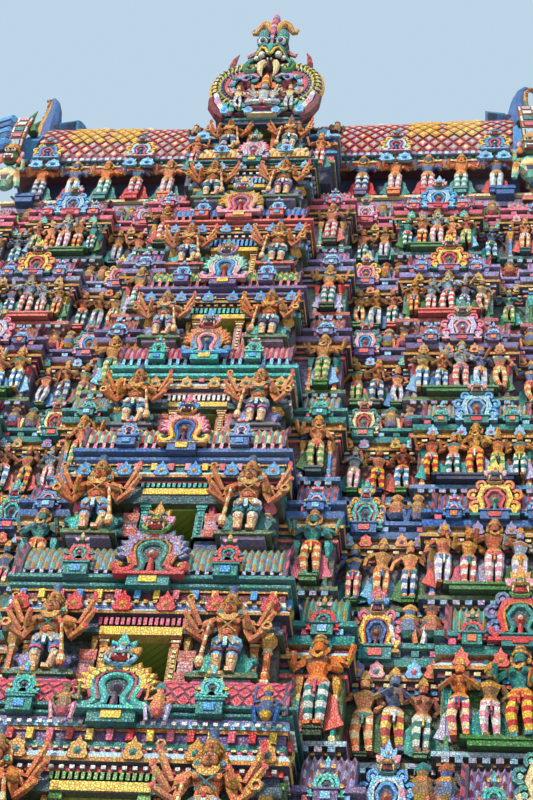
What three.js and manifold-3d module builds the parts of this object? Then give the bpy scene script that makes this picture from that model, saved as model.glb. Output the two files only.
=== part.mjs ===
// A nine-storey South Indian temple gateway tower, with its granite gateway base, its
// storeys of brick and painted stucco, and its barrel roof, as a half-size model.
// Sizes are in metres of the real tower until mm() turns them into the model's millimetres.
// X runs along the front, the front faces -Y, and Z is up from the ground.
import * as THREE from "three";
import { mergeVertices } from "three/addons/utils/BufferGeometryUtils.js";
import Module from "manifold-3d";

const wasm = await Module();
wasm.setup();

const modelScale = 0.5;
const mm = (metres) => Math.sign(metres) * Math.round(Math.abs(metres) * 1000 * modelScale);

// Driving dimensions.
const storeyHeights = [4.8, 4.6, 4.6, 3.85, 3.5, 3.5, 3.3, 3.25];
const firstFloor = 13.8; // where the guardians of the lowest storey stand
const topHalfLength = 8.3; // half the length of the highest storey
const lengthBatter = 0.205; // half length gained for each metre down
const topHalfDepth = 2.45; // half the depth of the highest storey's wall
const depthBatter = 0.13;
const depthCurve = 0.0012; // the sides are slightly hollow, so the batter grows downwards
const porchReach = 1.4; // how far the middle bay stands out from the wall
const ledgeHeight = 0.35; // the shelf that the guardians stand on
const sideDrop = 0.85; // the side bays' storeys lie this far below the middle bay's
const porchHalfWidths = [4.1, 3.7, 3.2, 2.65, 2.4, 2.25, 2.1, 1.9, 1.6];
const doorShare = 0.19; // half a doorway's width, as a share of the porch's half width
const doorRise = 0.3; // lintel's underside above the guardians' shelf, as a share of the storey
const guardianRise = 0.46; // a guardian's height, as a share of the storey
const bayPlace = 0.605; // middle of each side bay, as a share of the half length
const bayShare = 0.125; // half a side bay's width, as a share of the half length
const cornerShare = 0.09;
const bayReach = 0.45;
const cornerReach = 0.25;
const corniceReach = 0.32;
const panelReach = 0.7; // the narrow bay beside the porch
const panelWidth = 1.0;
const endBayReach = 0.6;
const clearance = 0.002; // between a wall's inside and the floor that it holds
const curvedGap = 0.001; // between a curved surface and a piece cut to fit it
const topStorey = storeyHeights.length;

// Gateway base.
const gateHalfWidth = 2.1;
const gateHeight = 9.0;
const plinthHeight = 1.7;
const plinthReach = 0.7;
const baseWallHalfLength = 15.3;
const baseWallHalfDepth = 8.3;
const basePorchHalfWidth = 4.9;
const baseBayHalf = 1.5; // narrower than above, because the plinth spreads between the bays

// Roof.
const neckHalfLength = 7.75;
const neckHalfDepth = 1.9;
const neckWall = 0.45;
const neckShelfHeight = 45.3; // top of the low wall that the neck's figures stand on
const eaveHeight = 46.75;
const eaveThickness = 0.3;
const eaveHalfLength = 8.2;
const eaveReach = 0.3;
const vaultHalfDepth = 2.45;
const vaultRise = 3.3;
const vaultThickness = 0.35;
const roofHalfLength = 7.6;
const roofSaddle = 0.2; // the roof's ends curve up by this much
const gableThickness = 0.55;
const dormerHalfWidth = 1.4;
const dormerFace = 3.95;
const finialCount = 9;
const finialSpacing = 1.58;

const colours = {
  granite: { color: 0x8c8379, roughness: 0.9, metalness: 0 },
  blueStucco: { color: 0x3f6f8f, roughness: 0.75, metalness: 0 },
  tealStucco: { color: 0x2f9a8c, roughness: 0.75, metalness: 0 },
  roseStucco: { color: 0xb5606a, roughness: 0.75, metalness: 0 },
  roofStucco: { color: 0x9c3a44, roughness: 0.7, metalness: 0 },
  goldStucco: { color: 0xd1a24a, roughness: 0.6, metalness: 0 },
};

function bays(halfLength) {
  return {
    bayCentre: halfLength * bayPlace,
    bayHalf: halfLength * bayShare,
    cornerHalf: halfLength * cornerShare,
  };
}

// The levels and plan sizes of one storey, counted from 0 at the bottom.
function storey(k) {
  const floors = storeyHeights.reduce((list, h) => [...list, list.at(-1) + h], [firstFloor]);
  const shelf = floors[k];
  const fall = floors[topStorey] - shelf;
  const height = storeyHeights[k] ?? storeyHeights.at(-1);
  const halfLength = topHalfLength + lengthBatter * fall;
  const ledge = shelf - sideDrop;
  return {
    height,
    shelf, // guardians' feet
    sill: shelf - ledgeHeight, // doorway's floor
    ledge, // side bays' floor
    halfLength,
    halfDepth: topHalfDepth + depthBatter * fall + depthCurve * fall * fall,
    porch: porchHalfWidths[k],
    door: porchHalfWidths[k] * doorShare,
    wall: k === topStorey ? 1.0 : 1.5 - 0.11 * k,
    ...bays(halfLength),
    porchCorniceFoot: shelf + 0.35 * height,
    porchCorniceTop: shelf + 0.49 * height,
    corniceFoot: ledge + 0.42 * height,
    corniceTop: ledge + 0.62 * height,
  };
}

// Turns a closed geometry into a solid that can be joined and cut.
function solid(geometry) {
  const bare = geometry.clone();
  bare.deleteAttribute("normal");
  bare.deleteAttribute("uv");
  const merged = mergeVertices(bare, 1e-3);
  return new wasm.Manifold(
    new wasm.Mesh({
      numProp: 3,
      vertProperties: new Float32Array(merged.attributes.position.array),
      triVerts: new Uint32Array(merged.index.array),
    }),
  );
}

const join = (solids) => solids.reduce((all, next) => all.add(next));

// A box from its lowest to its highest corner.
function box(x0, x1, y0, y1, z0, z1) {
  const [a, b, c, d, e, f] = [x0, x1, y0, y1, z0, z1].map(mm);
  const geometry = new THREE.BoxGeometry(b - a, d - c, f - e);
  geometry.translate((a + b) / 2, (c + d) / 2, (e + f) / 2);
  return solid(geometry);
}

// A plan outline raised from one level to another.
function prism(outline, z0, z1) {
  const shape = new THREE.Shape(outline.map(([x, y]) => new THREE.Vector2(mm(x), mm(y))));
  const geometry = new THREE.ExtrudeGeometry(shape, { depth: mm(z1) - mm(z0), bevelEnabled: false });
  geometry.translate(0, 0, mm(z0));
  return solid(geometry);
}

// Rounded roofs: a half ellipse drawn out along X or along Y.
function halfRound(halfSpan, z0, z1, length, segments) {
  const shape = new THREE.Shape();
  shape.absellipse(0, 0, mm(halfSpan), mm(z1) - mm(z0), 0, Math.PI, false, 0);
  shape.closePath();
  return new THREE.ExtrudeGeometry(shape, {
    depth: mm(length),
    bevelEnabled: false,
    curveSegments: segments / 2, // an ellipse gets twice as many
  });
}

function barrelAlongX(x, y, halfLength, halfSpan, z0, z1, segments = 4) {
  const geometry = halfRound(halfSpan, z0, z1, 2 * halfLength, segments);
  const turn = new THREE.Matrix4().makeBasis(
    new THREE.Vector3(0, 1, 0),
    new THREE.Vector3(0, 0, 1),
    new THREE.Vector3(1, 0, 0),
  );
  geometry.applyMatrix4(turn);
  geometry.translate(mm(x - halfLength), mm(y), mm(z0));
  return solid(geometry);
}

function barrelAlongY(x, y0, y1, halfSpan, z0, z1, segments = 4) {
  const geometry = halfRound(halfSpan, z0, z1, y1 - y0, segments);
  const turn = new THREE.Matrix4().makeBasis(
    new THREE.Vector3(-1, 0, 0),
    new THREE.Vector3(0, 0, 1),
    new THREE.Vector3(0, 1, 0),
  );
  geometry.applyMatrix4(turn);
  geometry.translate(mm(x), mm(y0), mm(z0));
  return solid(geometry);
}

// An upright cylinder or cone of few sides.
function column(x, y, z0, z1, radiusFoot, radiusTop, sides, turn = 0) {
  const height = mm(z1) - mm(z0);
  const geometry = new THREE.CylinderGeometry(mm(radiusTop), mm(radiusFoot), height, sides);
  geometry.rotateX(Math.PI / 2);
  geometry.rotateZ(turn);
  geometry.translate(mm(x), mm(y), mm(z0) + height / 2);
  return solid(geometry);
}

// One quarter of a storey's plan, from the front's middle round to the end's middle.
function quarterPlan(s, spread, withPorch) {
  const { halfLength: l, halfDepth: d, porch, bayCentre, bayHalf, cornerHalf } = s;
  const panelEnd = porch + panelWidth;
  const front = d + panelReach + spread;
  const points = withPorch
    ? [
        [porch + spread, d + porchReach + spread],
        [porch + spread, front],
      ]
    : [];
  points.push(
    [panelEnd + spread, front],
    [panelEnd + spread, d + spread],
    [bayCentre - bayHalf - spread, d + spread],
    [bayCentre - bayHalf - spread, d + bayReach + spread],
    [bayCentre + bayHalf + spread, d + bayReach + spread],
    [bayCentre + bayHalf + spread, d + spread],
    [l - 2 * cornerHalf - spread, d + spread],
    [l - 2 * cornerHalf - spread, d + cornerReach + spread],
    [l + cornerReach + spread, d + cornerReach + spread],
    [l + cornerReach + spread, d - 2 * cornerHalf * (d / l) - spread],
    [l + spread, d - 2 * cornerHalf * (d / l) - spread],
    [l + spread, d * 0.4 + spread],
    [l + endBayReach + spread, d * 0.4 + spread],
  );
  return points;
}

// The whole plan, mirrored from one quarter.
function plan(s, spread, withPorch = false) {
  const quarter = quarterPlan(s, spread, withPorch);
  const back = [...quarter].reverse();
  return [
    ...back,
    ...quarter.map(([x, y]) => [-x, y]),
    ...back.map(([x, y]) => [-x, -y]),
    ...quarter.map(([x, y]) => [x, -y]),
  ];
}

const frontAndBack = (make) => join([make(-1), make(1)]);
const leftAndRight = (make) => join([make(-1), make(1)]);

function boxTowards(side, x0, x1, near, far, z0, z1) {
  return side < 0 ? box(x0, x1, -far, -near, z0, z1) : box(x0, x1, near, far, z0, z1);
}

// A many-armed guardian: legs and body, crowned head, and arms spread like a fan.
function guardian(x, front, side, foot, height) {
  const y = side * (front + 0.45);
  const arms = new THREE.CylinderGeometry(mm(0.34 * height), mm(0.34 * height), mm(0.16), 8);
  arms.translate(mm(x), mm(y), mm(foot + 0.64 * height));
  return join([
    column(x, y, foot - 0.05, foot + 0.72 * height, 0.12 * height, 0.16 * height, 4, Math.PI / 4),
    column(x, y, foot + 0.68 * height, foot + height, 0.08 * height, 0.04 * height, 4, Math.PI / 4),
    solid(arms),
  ]);
}

// A guardian on each side of the doorway, front and back.
function guardians(s, porchFace, height) {
  return frontAndBack((side) =>
    leftAndRight((hand) =>
      guardian(hand * (s.porch + s.door) * 0.5, porchFace, side, s.shelf, height),
    ),
  );
}

// The shelf in front of each doorpost.
function guardianShelves(s, porchFace) {
  return frontAndBack((side) =>
    leftAndRight((hand) => {
      const [x0, x1] = hand < 0 ? [-s.porch + 0.1, -s.door - 0.1] : [s.door + 0.1, s.porch - 0.1];
      return boxTowards(side, x0, x1, porchFace - 0.1, porchFace + 0.72, s.sill, s.shelf);
    }),
  );
}

// Everything of a storey that stands between two floors, with doorways front and back.
function storeyWalls(k) {
  const s = storey(k);
  const inX = s.halfLength - s.wall;
  const inY = s.halfDepth - s.wall;
  const porchFace = s.halfDepth + porchReach;
  const ring = prism(plan(s, 0), s.ledge, s.corniceFoot);
  const room = box(-inX, inX, -inY, inY, s.ledge - 1, s.porchCorniceTop);
  const porchHole = box(-s.porch, s.porch, -porchFace - 1, porchFace + 1, s.ledge - 1, s.corniceFoot + 1);
  const jambs = frontAndBack((side) =>
    leftAndRight((hand) => {
      const [x0, x1] = hand < 0 ? [-s.porch, -s.door] : [s.door, s.porch];
      return boxTowards(side, x0, x1, inY, porchFace, s.sill, s.porchCorniceFoot);
    }),
  );
  const lintels = frontAndBack((side) =>
    boxTowards(side, -s.porch, s.porch, inY, porchFace, s.shelf + doorRise * s.height, s.porchCorniceFoot),
  );
  return join([
    ring.subtract(porchHole).subtract(room),
    jambs,
    lintels,
    guardianShelves(s, porchFace),
    guardians(s, porchFace, guardianRise * s.height),
  ]);
}

// The cornice over a storey: a ring that follows the plan, raised over the porches.
function storeyCornice(k) {
  const s = storey(k);
  const next = storey(k + 1);
  const inX = next.halfLength - next.wall;
  const inY = next.halfDepth - next.wall;
  const porchFace = s.halfDepth + porchReach;
  const ring = prism(plan(s, corniceReach), s.corniceFoot, s.corniceTop).subtract(
    box(-s.porch, s.porch, -porchFace - 1, porchFace + 1, s.corniceFoot - 1, s.porchCorniceFoot),
  );
  const reach = s.porch + corniceReach;
  const far = porchFace + corniceReach;
  const porches = box(-reach, reach, -far, far, s.porchCorniceFoot, s.porchCorniceTop);
  const well = box(-inX, inX, -inY, inY, s.corniceFoot - 1, s.porchCorniceTop + 1);
  return ring.add(porches).subtract(well);
}

// A small square shrine with a pointed top, as stands on every corner.
function cornerShrine(x, y, foot, top, half) {
  const waist = foot + 0.45 * (top - foot);
  return join([
    box(x - half, x + half, y - half, y + half, foot, waist),
    column(x, y, waist, top, half * 1.35, half * 0.5, 4, Math.PI / 4),
  ]);
}

// The row of small shrines on a cornice, and the floor of the next storey behind it.
function storeyParapet(k) {
  const s = storey(k);
  const next = storey(k + 1);
  const inX = next.halfLength - next.wall;
  const inY = next.halfDepth - next.wall;
  const porchFace = s.halfDepth + porchReach;
  const nextFace = next.halfDepth + porchReach;
  const backing = prism(plan(next, 0.12), s.corniceTop, next.ledge);
  const [floorX, floorY] = [inX - clearance, inY - clearance];
  const floor = box(-floorX, floorX, -floorY, floorY, s.corniceTop, next.sill);
  const porchBase = box(-next.porch, next.porch, -nextFace, nextFace, s.porchCorniceTop, next.sill);
  const well = box(-inX, inX, -inY, inY, s.corniceTop - 1, next.sill - 0.75);

  const inset = 0.2; // how far each small roof runs back into the wall behind it
  const porchRoofs = frontAndBack((side) => {
    const y = nextFace - inset;
    const span = porchFace + 0.12 - y;
    return barrelAlongX(0, side * y, s.porch, span, s.porchCorniceTop, next.sill, 6);
  });
  const bayRoofs = frontAndBack((side) =>
    leftAndRight((hand) => {
      const y = next.halfDepth + bayReach - inset;
      const span = s.halfDepth + bayReach + 0.1 - y;
      return barrelAlongX(hand * s.bayCentre, side * y, s.bayHalf + 0.1, span, s.corniceTop, next.ledge);
    }),
  );
  const panelRoofs = frontAndBack((side) =>
    leftAndRight((hand) => {
      const y = next.halfDepth + panelReach - inset;
      const span = s.halfDepth + panelReach + 0.1 - y;
      const half = panelWidth / 2;
      return barrelAlongX(hand * (s.porch + half), side * y, half, span, s.corniceTop, next.ledge);
    }),
  );
  const cornerHalf = s.cornerHalf * 0.8;
  const corners = frontAndBack((side) =>
    leftAndRight((hand) =>
      cornerShrine(
        hand * (s.halfLength + cornerReach - cornerHalf - 0.05),
        side * (s.halfDepth + cornerReach - cornerHalf - 0.05),
        s.corniceTop,
        next.ledge,
        cornerHalf,
      ),
    ),
  );
  const endRoofs = leftAndRight((hand) => {
    const x = next.halfLength + endBayReach - inset;
    const span = s.halfLength + endBayReach + 0.1 - x;
    const half = s.halfDepth * 0.4;
    return barrelAlongY(hand * x, -half, half, span, s.corniceTop, next.ledge);
  });
  const besidePorch = leftAndRight((hand) => {
    const [x0, x1] = hand < 0 ? [-s.porch - 1, -next.porch] : [next.porch, s.porch + 1];
    return box(x0, x1, -nextFace, nextFace, next.ledge, next.sill + 1);
  });
  const all = [backing, floor, porchBase, porchRoofs, bayRoofs, panelRoofs, corners, endRoofs];
  return join(all).subtract(well).subtract(besidePorch).subtract(storeyCornice(k));
}

// The granite base on one side of the gateway.
function baseSide(hand, spread, z0, z1) {
  const s = {
    ...storey(0),
    halfLength: baseWallHalfLength,
    halfDepth: baseWallHalfDepth,
    porch: basePorchHalfWidth,
    ...bays(baseWallHalfLength),
    bayHalf: baseBayHalf,
  };
  const whole = prism(plan(s, spread, true), z0, z1);
  if (hand === 0) return whole;
  const far = 2 * baseWallHalfLength;
  const [x0, x1] = hand < 0 ? [-gateHalfWidth, far] : [-far, gateHalfWidth];
  return whole.subtract(box(x0, x1, -far, far, z0 - 1, z1 + 1));
}

function plinth(hand) {
  const courses = [
    [plinthReach, 0, 0.45],
    [plinthReach - 0.25, 0.45, 0.95],
    [plinthReach - 0.45, 0.95, 1.35],
    [plinthReach - 0.2, 1.35, plinthHeight],
  ];
  return join(courses.map(([spread, z0, z1]) => baseSide(hand, spread, z0, z1)));
}

function gateWall(hand) {
  return join([
    baseSide(hand, 0, plinthHeight, gateHeight),
    baseSide(hand, 0.4, 6.2, 6.75),
  ]);
}

function baseCornice() {
  const s = storey(0);
  const top = s.ledge;
  const inX = s.halfLength - s.wall - clearance;
  const inY = s.halfDepth - s.wall - clearance;
  const porchFace = s.halfDepth + porchReach;
  return join([
    baseSide(0, 0.5, top - 0.85, top - 0.35),
    baseSide(0, -0.1, top - 0.35, top),
    box(-inX, inX, -inY, inY, top - 0.2, s.sill),
    box(-s.porch, s.porch, -porchFace, porchFace, top - 0.2, s.sill),
  ]);
}

// The neck under the roof: a plain wall with a doorway through a porch, front and back.
function neckWalls() {
  const s = storey(topStorey);
  const inX = neckHalfLength - neckWall;
  const inY = neckHalfDepth - neckWall;
  const porchFace = s.halfDepth + porchReach;
  const shell = box(-neckHalfLength, neckHalfLength, -neckHalfDepth, neckHalfDepth, s.ledge, eaveHeight);
  const porch = box(-s.porch, s.porch, -porchFace, porchFace, s.sill, eaveHeight);
  const room = box(-inX, inX, -inY, inY, s.ledge - 1, eaveHeight + 1);
  const floorSpace = box(-s.porch, s.porch, -porchFace - 1, porchFace + 1, s.ledge - 1, s.sill);
  const door = box(-s.door, s.door, -porchFace - 1, porchFace + 1, s.sill, s.shelf + 1.1);
  return join([
    join([shell, porch]).subtract(room).subtract(floorSpace).subtract(door),
    guardianShelves(s, porchFace),
    guardians(s, porchFace, 1.45),
  ]);
}

// The low wall round the neck, which its standing figures stand on.
function neckShelf(side) {
  const s = storey(topStorey);
  const far = neckHalfDepth + 0.65;
  const end = neckHalfLength + 0.45;
  const ring = box(-end, end, -far, far, s.ledge, neckShelfHeight);
  const inside = box(-neckHalfLength, neckHalfLength, -neckHalfDepth, neckHalfDepth, 0, eaveHeight);
  const porch = box(-s.porch, s.porch, -far - 1, far + 1, 0, eaveHeight);
  const [x0, x1] = side < 0 ? [0, end + 1] : [-end - 1, 0];
  const otherHand = box(x0, x1, -far, far, 0, eaveHeight);
  return ring.subtract(inside).subtract(porch).subtract(otherHand);
}

// A solid drawn in the plane across the tower and extruded along it.
function alongTower(shape, x0, x1, steps, segments) {
  const geometry = new THREE.ExtrudeGeometry(shape, {
    depth: mm(x1) - mm(x0),
    steps,
    bevelEnabled: false,
    curveSegments: segments,
  });
  const turn = new THREE.Matrix4().makeBasis(
    new THREE.Vector3(0, 1, 0),
    new THREE.Vector3(0, 0, 1),
    new THREE.Vector3(1, 0, 0),
  );
  geometry.applyMatrix4(turn);
  geometry.translate(mm(x0), 0, 0);
  return geometry;
}

const roofFoot = eaveHeight + eaveThickness;

// Lifts the ends of a long roof piece along a gentle curve, and leaves its foot level.
function saddle(geometry) {
  const position = geometry.attributes.position;
  for (let i = 0; i < position.count; i += 1) {
    const along = position.getX(i) / mm(roofHalfLength);
    const up = (position.getZ(i) - mm(roofFoot)) / mm(vaultRise);
    position.setZ(i, position.getZ(i) + mm(roofSaddle) * along * along * up);
  }
  return geometry;
}

function roofEave() {
  const reach = vaultHalfDepth + eaveReach;
  const inX = neckHalfLength - neckWall - 0.05;
  const inY = neckHalfDepth - neckWall - 0.05;
  const slab = box(-eaveHalfLength, eaveHalfLength, -reach, reach, eaveHeight, roofFoot);
  return slab.subtract(box(-inX, inX, -inY, inY, eaveHeight - 1, roofFoot + 1));
}

// The barrel roof's outline across the tower: filled, or a shell.
function vaultShape(grow, hollow) {
  const half = mm(vaultHalfDepth) + grow;
  const rise = mm(vaultRise) + grow;
  const shell = mm(vaultThickness);
  const shape = new THREE.Shape();
  shape.absellipse(0, mm(roofFoot), half, rise, 0, Math.PI, false, 0);
  if (hollow) shape.absellipse(0, mm(roofFoot), half - shell, rise - shell, Math.PI, 0, true, 0);
  shape.closePath();
  return shape;
}

function vaultAlong(shape) {
  return solid(saddle(alongTower(shape, -roofHalfLength, roofHalfLength, 6, 8)));
}

const roofVault = () => vaultAlong(vaultShape(0, true));

// What a piece on the roof is cut with, so that it fits the roof's curve.
function roofCutter() {
  const vault = vaultAlong(vaultShape(1000 * curvedGap * modelScale, false));
  const reach = vaultHalfDepth + eaveReach;
  const eave = box(-eaveHalfLength, eaveHalfLength, -reach, reach, eaveHeight, roofFoot);
  return vault.add(eave);
}

// The ridge's nine finials, each turned like a pot, on one low ridge bar.
function ridgeCrest() {
  const top = roofFoot + vaultRise;
  const bar = new THREE.Shape();
  bar.moveTo(-mm(0.4), mm(top - 0.25));
  bar.lineTo(mm(0.4), mm(top - 0.25));
  bar.lineTo(mm(0.25), mm(top + 0.15));
  bar.lineTo(-mm(0.25), mm(top + 0.15));
  bar.closePath();
  const profile = [
    [0, -0.2],
    [0.35, -0.2],
    [0.46, 0.5],
    [0.38, 0.8],
    [0.16, 1.05],
    [0.24, 1.4],
    [0, 1.85],
  ].map(([r, z]) => new THREE.Vector2(mm(r), mm(z)));
  const finials = [];
  for (let i = 0; i < finialCount; i += 1) {
    const x = (i - (finialCount - 1) / 2) * finialSpacing;
    const along = x / roofHalfLength;
    const pot = new THREE.LatheGeometry(profile, 6);
    pot.rotateX(Math.PI / 2);
    pot.translate(mm(x), 0, mm(top + 0.15 + roofSaddle * along * along));
    finials.push(solid(pot));
  }
  const ridge = solid(saddle(alongTower(bar, -roofHalfLength, roofHalfLength, 6, 1)));
  return join([ridge, ...finials]).subtract(roofCutter());
}

// A closed outline from its right half, mirrored.
function mirroredShape(half) {
  const points = [...half, ...[...half].reverse().map(([u, v]) => [-u, v])];
  return new THREE.Shape(points.map(([u, v]) => new THREE.Vector2(mm(u), mm(v))));
}

// The horseshoe gable at one end of the roof, with the two horns at its crown.
function gable(hand) {
  const outline = [
    [2.3, roofFoot],
    [2.75, 47.5],
    [3.0, 48.3],
    [2.9, 49.2],
    [2.45, 50.0],
    [2.4, 50.5],
    [2.06, 51.25],
    [1.75, 50.7],
    [1.2, 50.75],
    [0.7, 51.1],
    [0.2, 51.2],
  ];
  const far = roofHalfLength + gableThickness;
  const [x0, x1] = hand < 0 ? [-far, -roofHalfLength] : [roofHalfLength, far];
  return solid(alongTower(mirroredShape(outline), x0, x1, 1, 1));
}

// The lion face on the gable's outside, over its round opening's frame.
function gableFace(hand) {
  const outline = [
    [0.9, 48.7],
    [1.25, 49.2],
    [1.35, 49.9],
    [1.05, 50.4],
    [0.5, 50.8],
  ];
  const near = roofHalfLength + gableThickness;
  const [x0, x1] = hand < 0 ? [-near - 0.4, -near] : [near, near + 0.4];
  return solid(alongTower(mirroredShape(outline), x0, x1, 1, 1));
}

// The short barrel roof over each doorway of the neck, running back into the main roof.
function dormer(side) {
  const s = storey(topStorey);
  const [y0, y1] = side < 0 ? [-dormerFace, -1] : [1, dormerFace];
  return join([
    boxTowards(side, -s.porch - 0.3, s.porch + 0.3, 1, dormerFace + 0.25, eaveHeight, eaveHeight + 0.5),
    barrelAlongY(0, y0, y1, dormerHalfWidth, eaveHeight + 0.4, eaveHeight + 2.8, 10),
  ]).subtract(roofCutter());
}

// The lion mask with its fan of feathers, which stands on the dormer's front.
function crown(side) {
  const outline = [
    [1.5, eaveHeight + 0.5],
    [1.85, 47.6],
    [1.85, 48.6],
    [1.55, 49.3],
    [1.25, 49.8],
    [1.25, 50.45],
    [0.95, 50.45],
    [0.7, 50.95],
    [0.35, 51.1],
    [0.16, 51.45],
  ];
  const geometry = new THREE.ExtrudeGeometry(mirroredShape(outline), {
    depth: mm(0.5),
    bevelEnabled: false,
  });
  geometry.rotateX(Math.PI / 2);
  const back = side < 0 ? -dormerFace : dormerFace + 0.5;
  geometry.translate(0, mm(back), 0);
  return solid(geometry);
}

const group = new THREE.Group();

function addNode(name, shape, colour) {
  const mesh = shape.getMesh();
  const geometry = new THREE.BufferGeometry();
  geometry.setAttribute("position", new THREE.BufferAttribute(mesh.vertProperties, 3));
  geometry.setIndex(new THREE.BufferAttribute(mesh.triVerts, 1));
  geometry.computeVertexNormals();
  const node = new THREE.Mesh(geometry, new THREE.MeshStandardMaterial(colours[colour]));
  node.name = name;
  group.add(node);
}

const wallColours = ["blueStucco", "tealStucco", "roseStucco"];

function addBase() {
  addNode("gateway_floor", box(-gateHalfWidth, gateHalfWidth, -9.9, 9.9, 0, 0.3), "granite");
  for (const [hand, side] of [[-1, "left"], [1, "right"]]) {
    addNode(`base_plinth_${side}`, plinth(hand), "granite");
    addNode(`base_wall_${side}`, gateWall(hand), "granite");
  }
  addNode("gateway_lintel", baseSide(0, 0, gateHeight, storey(0).ledge - 0.85), "granite");
  addNode("base_cornice", baseCornice(), "granite");
}

function addStoreys() {
  for (let k = 0; k < topStorey; k += 1) {
    const number = k + 1;
    addNode(`storey_${number}_walls`, storeyWalls(k), wallColours[k % 3]);
    addNode(`storey_${number}_cornice`, storeyCornice(k), wallColours[(k + 1) % 3]);
    addNode(`storey_${number}_parapet`, storeyParapet(k), wallColours[(k + 2) % 3]);
  }
}

function addRoof() {
  addNode("roof_neck_walls", neckWalls(), "blueStucco");
  addNode("roof_eave", roofEave(), "roseStucco");
  addNode("roof_vault", roofVault(), "roofStucco");
  addNode("roof_ridge_crest", ridgeCrest(), "goldStucco");
  for (const [hand, side] of [[-1, "left"], [1, "right"]]) {
    addNode(`roof_neck_shelf_${side}`, neckShelf(hand), "tealStucco");
    addNode(`roof_gable_${side}`, gable(hand), "blueStucco");
    addNode(`roof_gable_face_${side}`, gableFace(hand), "goldStucco");
  }
  for (const [hand, side] of [[-1, "front"], [1, "back"]]) {
    addNode(`roof_dormer_${side}`, dormer(hand), "roseStucco");
    addNode(`roof_crown_${side}`, crown(hand), "tealStucco");
  }
}

addBase();
addStoreys();
addRoof();

export default group;
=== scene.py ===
import math
import random
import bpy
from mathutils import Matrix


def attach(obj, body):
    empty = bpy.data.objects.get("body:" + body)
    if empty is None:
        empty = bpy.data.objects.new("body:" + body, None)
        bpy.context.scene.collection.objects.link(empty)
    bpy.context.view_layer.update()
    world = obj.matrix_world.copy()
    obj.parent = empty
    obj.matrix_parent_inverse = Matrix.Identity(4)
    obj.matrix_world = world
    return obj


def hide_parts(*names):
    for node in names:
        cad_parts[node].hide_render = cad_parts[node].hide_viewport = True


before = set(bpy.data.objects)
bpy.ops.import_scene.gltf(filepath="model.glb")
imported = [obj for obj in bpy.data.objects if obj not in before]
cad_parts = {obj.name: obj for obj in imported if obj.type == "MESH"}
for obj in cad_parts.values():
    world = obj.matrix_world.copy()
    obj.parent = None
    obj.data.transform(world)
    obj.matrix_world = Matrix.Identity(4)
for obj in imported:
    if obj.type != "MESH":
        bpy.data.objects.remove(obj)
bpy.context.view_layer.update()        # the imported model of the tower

from types import SimpleNamespace

import bmesh
import bpy
import numpy as np
from mathutils import Matrix, Vector

random.seed(9)

tower = {        # metres of the real tower, as in the part's source
    "scale": 0.5,
    "storeyHeights": [4.8, 4.6, 4.6, 3.85, 3.5, 3.5, 3.3, 3.25],
    "firstFloor": 13.8,
    "topHalfLength": 8.3,
    "lengthBatter": 0.205,
    "topHalfDepth": 2.45,
    "depthBatter": 0.13,
    "depthCurve": 0.0012,
    "porchReach": 1.4,
    "ledgeHeight": 0.35,
    "sideDrop": 0.85,
    "porchHalfWidths": [4.1, 3.7, 3.2, 2.65, 2.4, 2.25, 2.1, 1.9, 1.6],
    "porchBody": 0.9,        # the porch's walls, as a share of the width with its cornice
    "doorShare": 0.19,
    "bayPlace": 0.605,
    "bayShare": 0.125,
    "bayReach": 0.45,
    "cornerShare": 0.09,
    "cornerReach": 0.25,
    "panelReach": 0.7,
    "panelWidth": 1.0,
    "endBayReach": 0.6,
    "wall": 0.55,
}
topStorey = len(tower["storeyHeights"])


# The levels and plan sizes of one storey, counted from 0 at the bottom.
def storey(k):
    shelf = tower["firstFloor"] + sum(tower["storeyHeights"][:k])
    fall = tower["firstFloor"] + sum(tower["storeyHeights"]) - shelf
    height = tower["storeyHeights"][min(k, topStorey - 1)]
    length = tower["topHalfLength"] + tower["lengthBatter"] * fall
    depth = tower["topHalfDepth"] + tower["depthBatter"] * fall + tower["depthCurve"] * fall ** 2
    porch = tower["porchHalfWidths"][k]
    return SimpleNamespace(
        k=k, height=height, shelf=shelf,
        sill=shelf - tower["ledgeHeight"],
        ledge=shelf - tower["sideDrop"],
        length=length, depth=depth,
        porch=porch * tower["porchBody"], porchOuter=porch,
        door=porch * tower["doorShare"],
        face=depth + tower["porchReach"],
        bayMid=length * tower["bayPlace"],
        bayHalf=length * tower["bayShare"],
        cornerHalf=length * tower["cornerShare"],
    )


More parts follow.
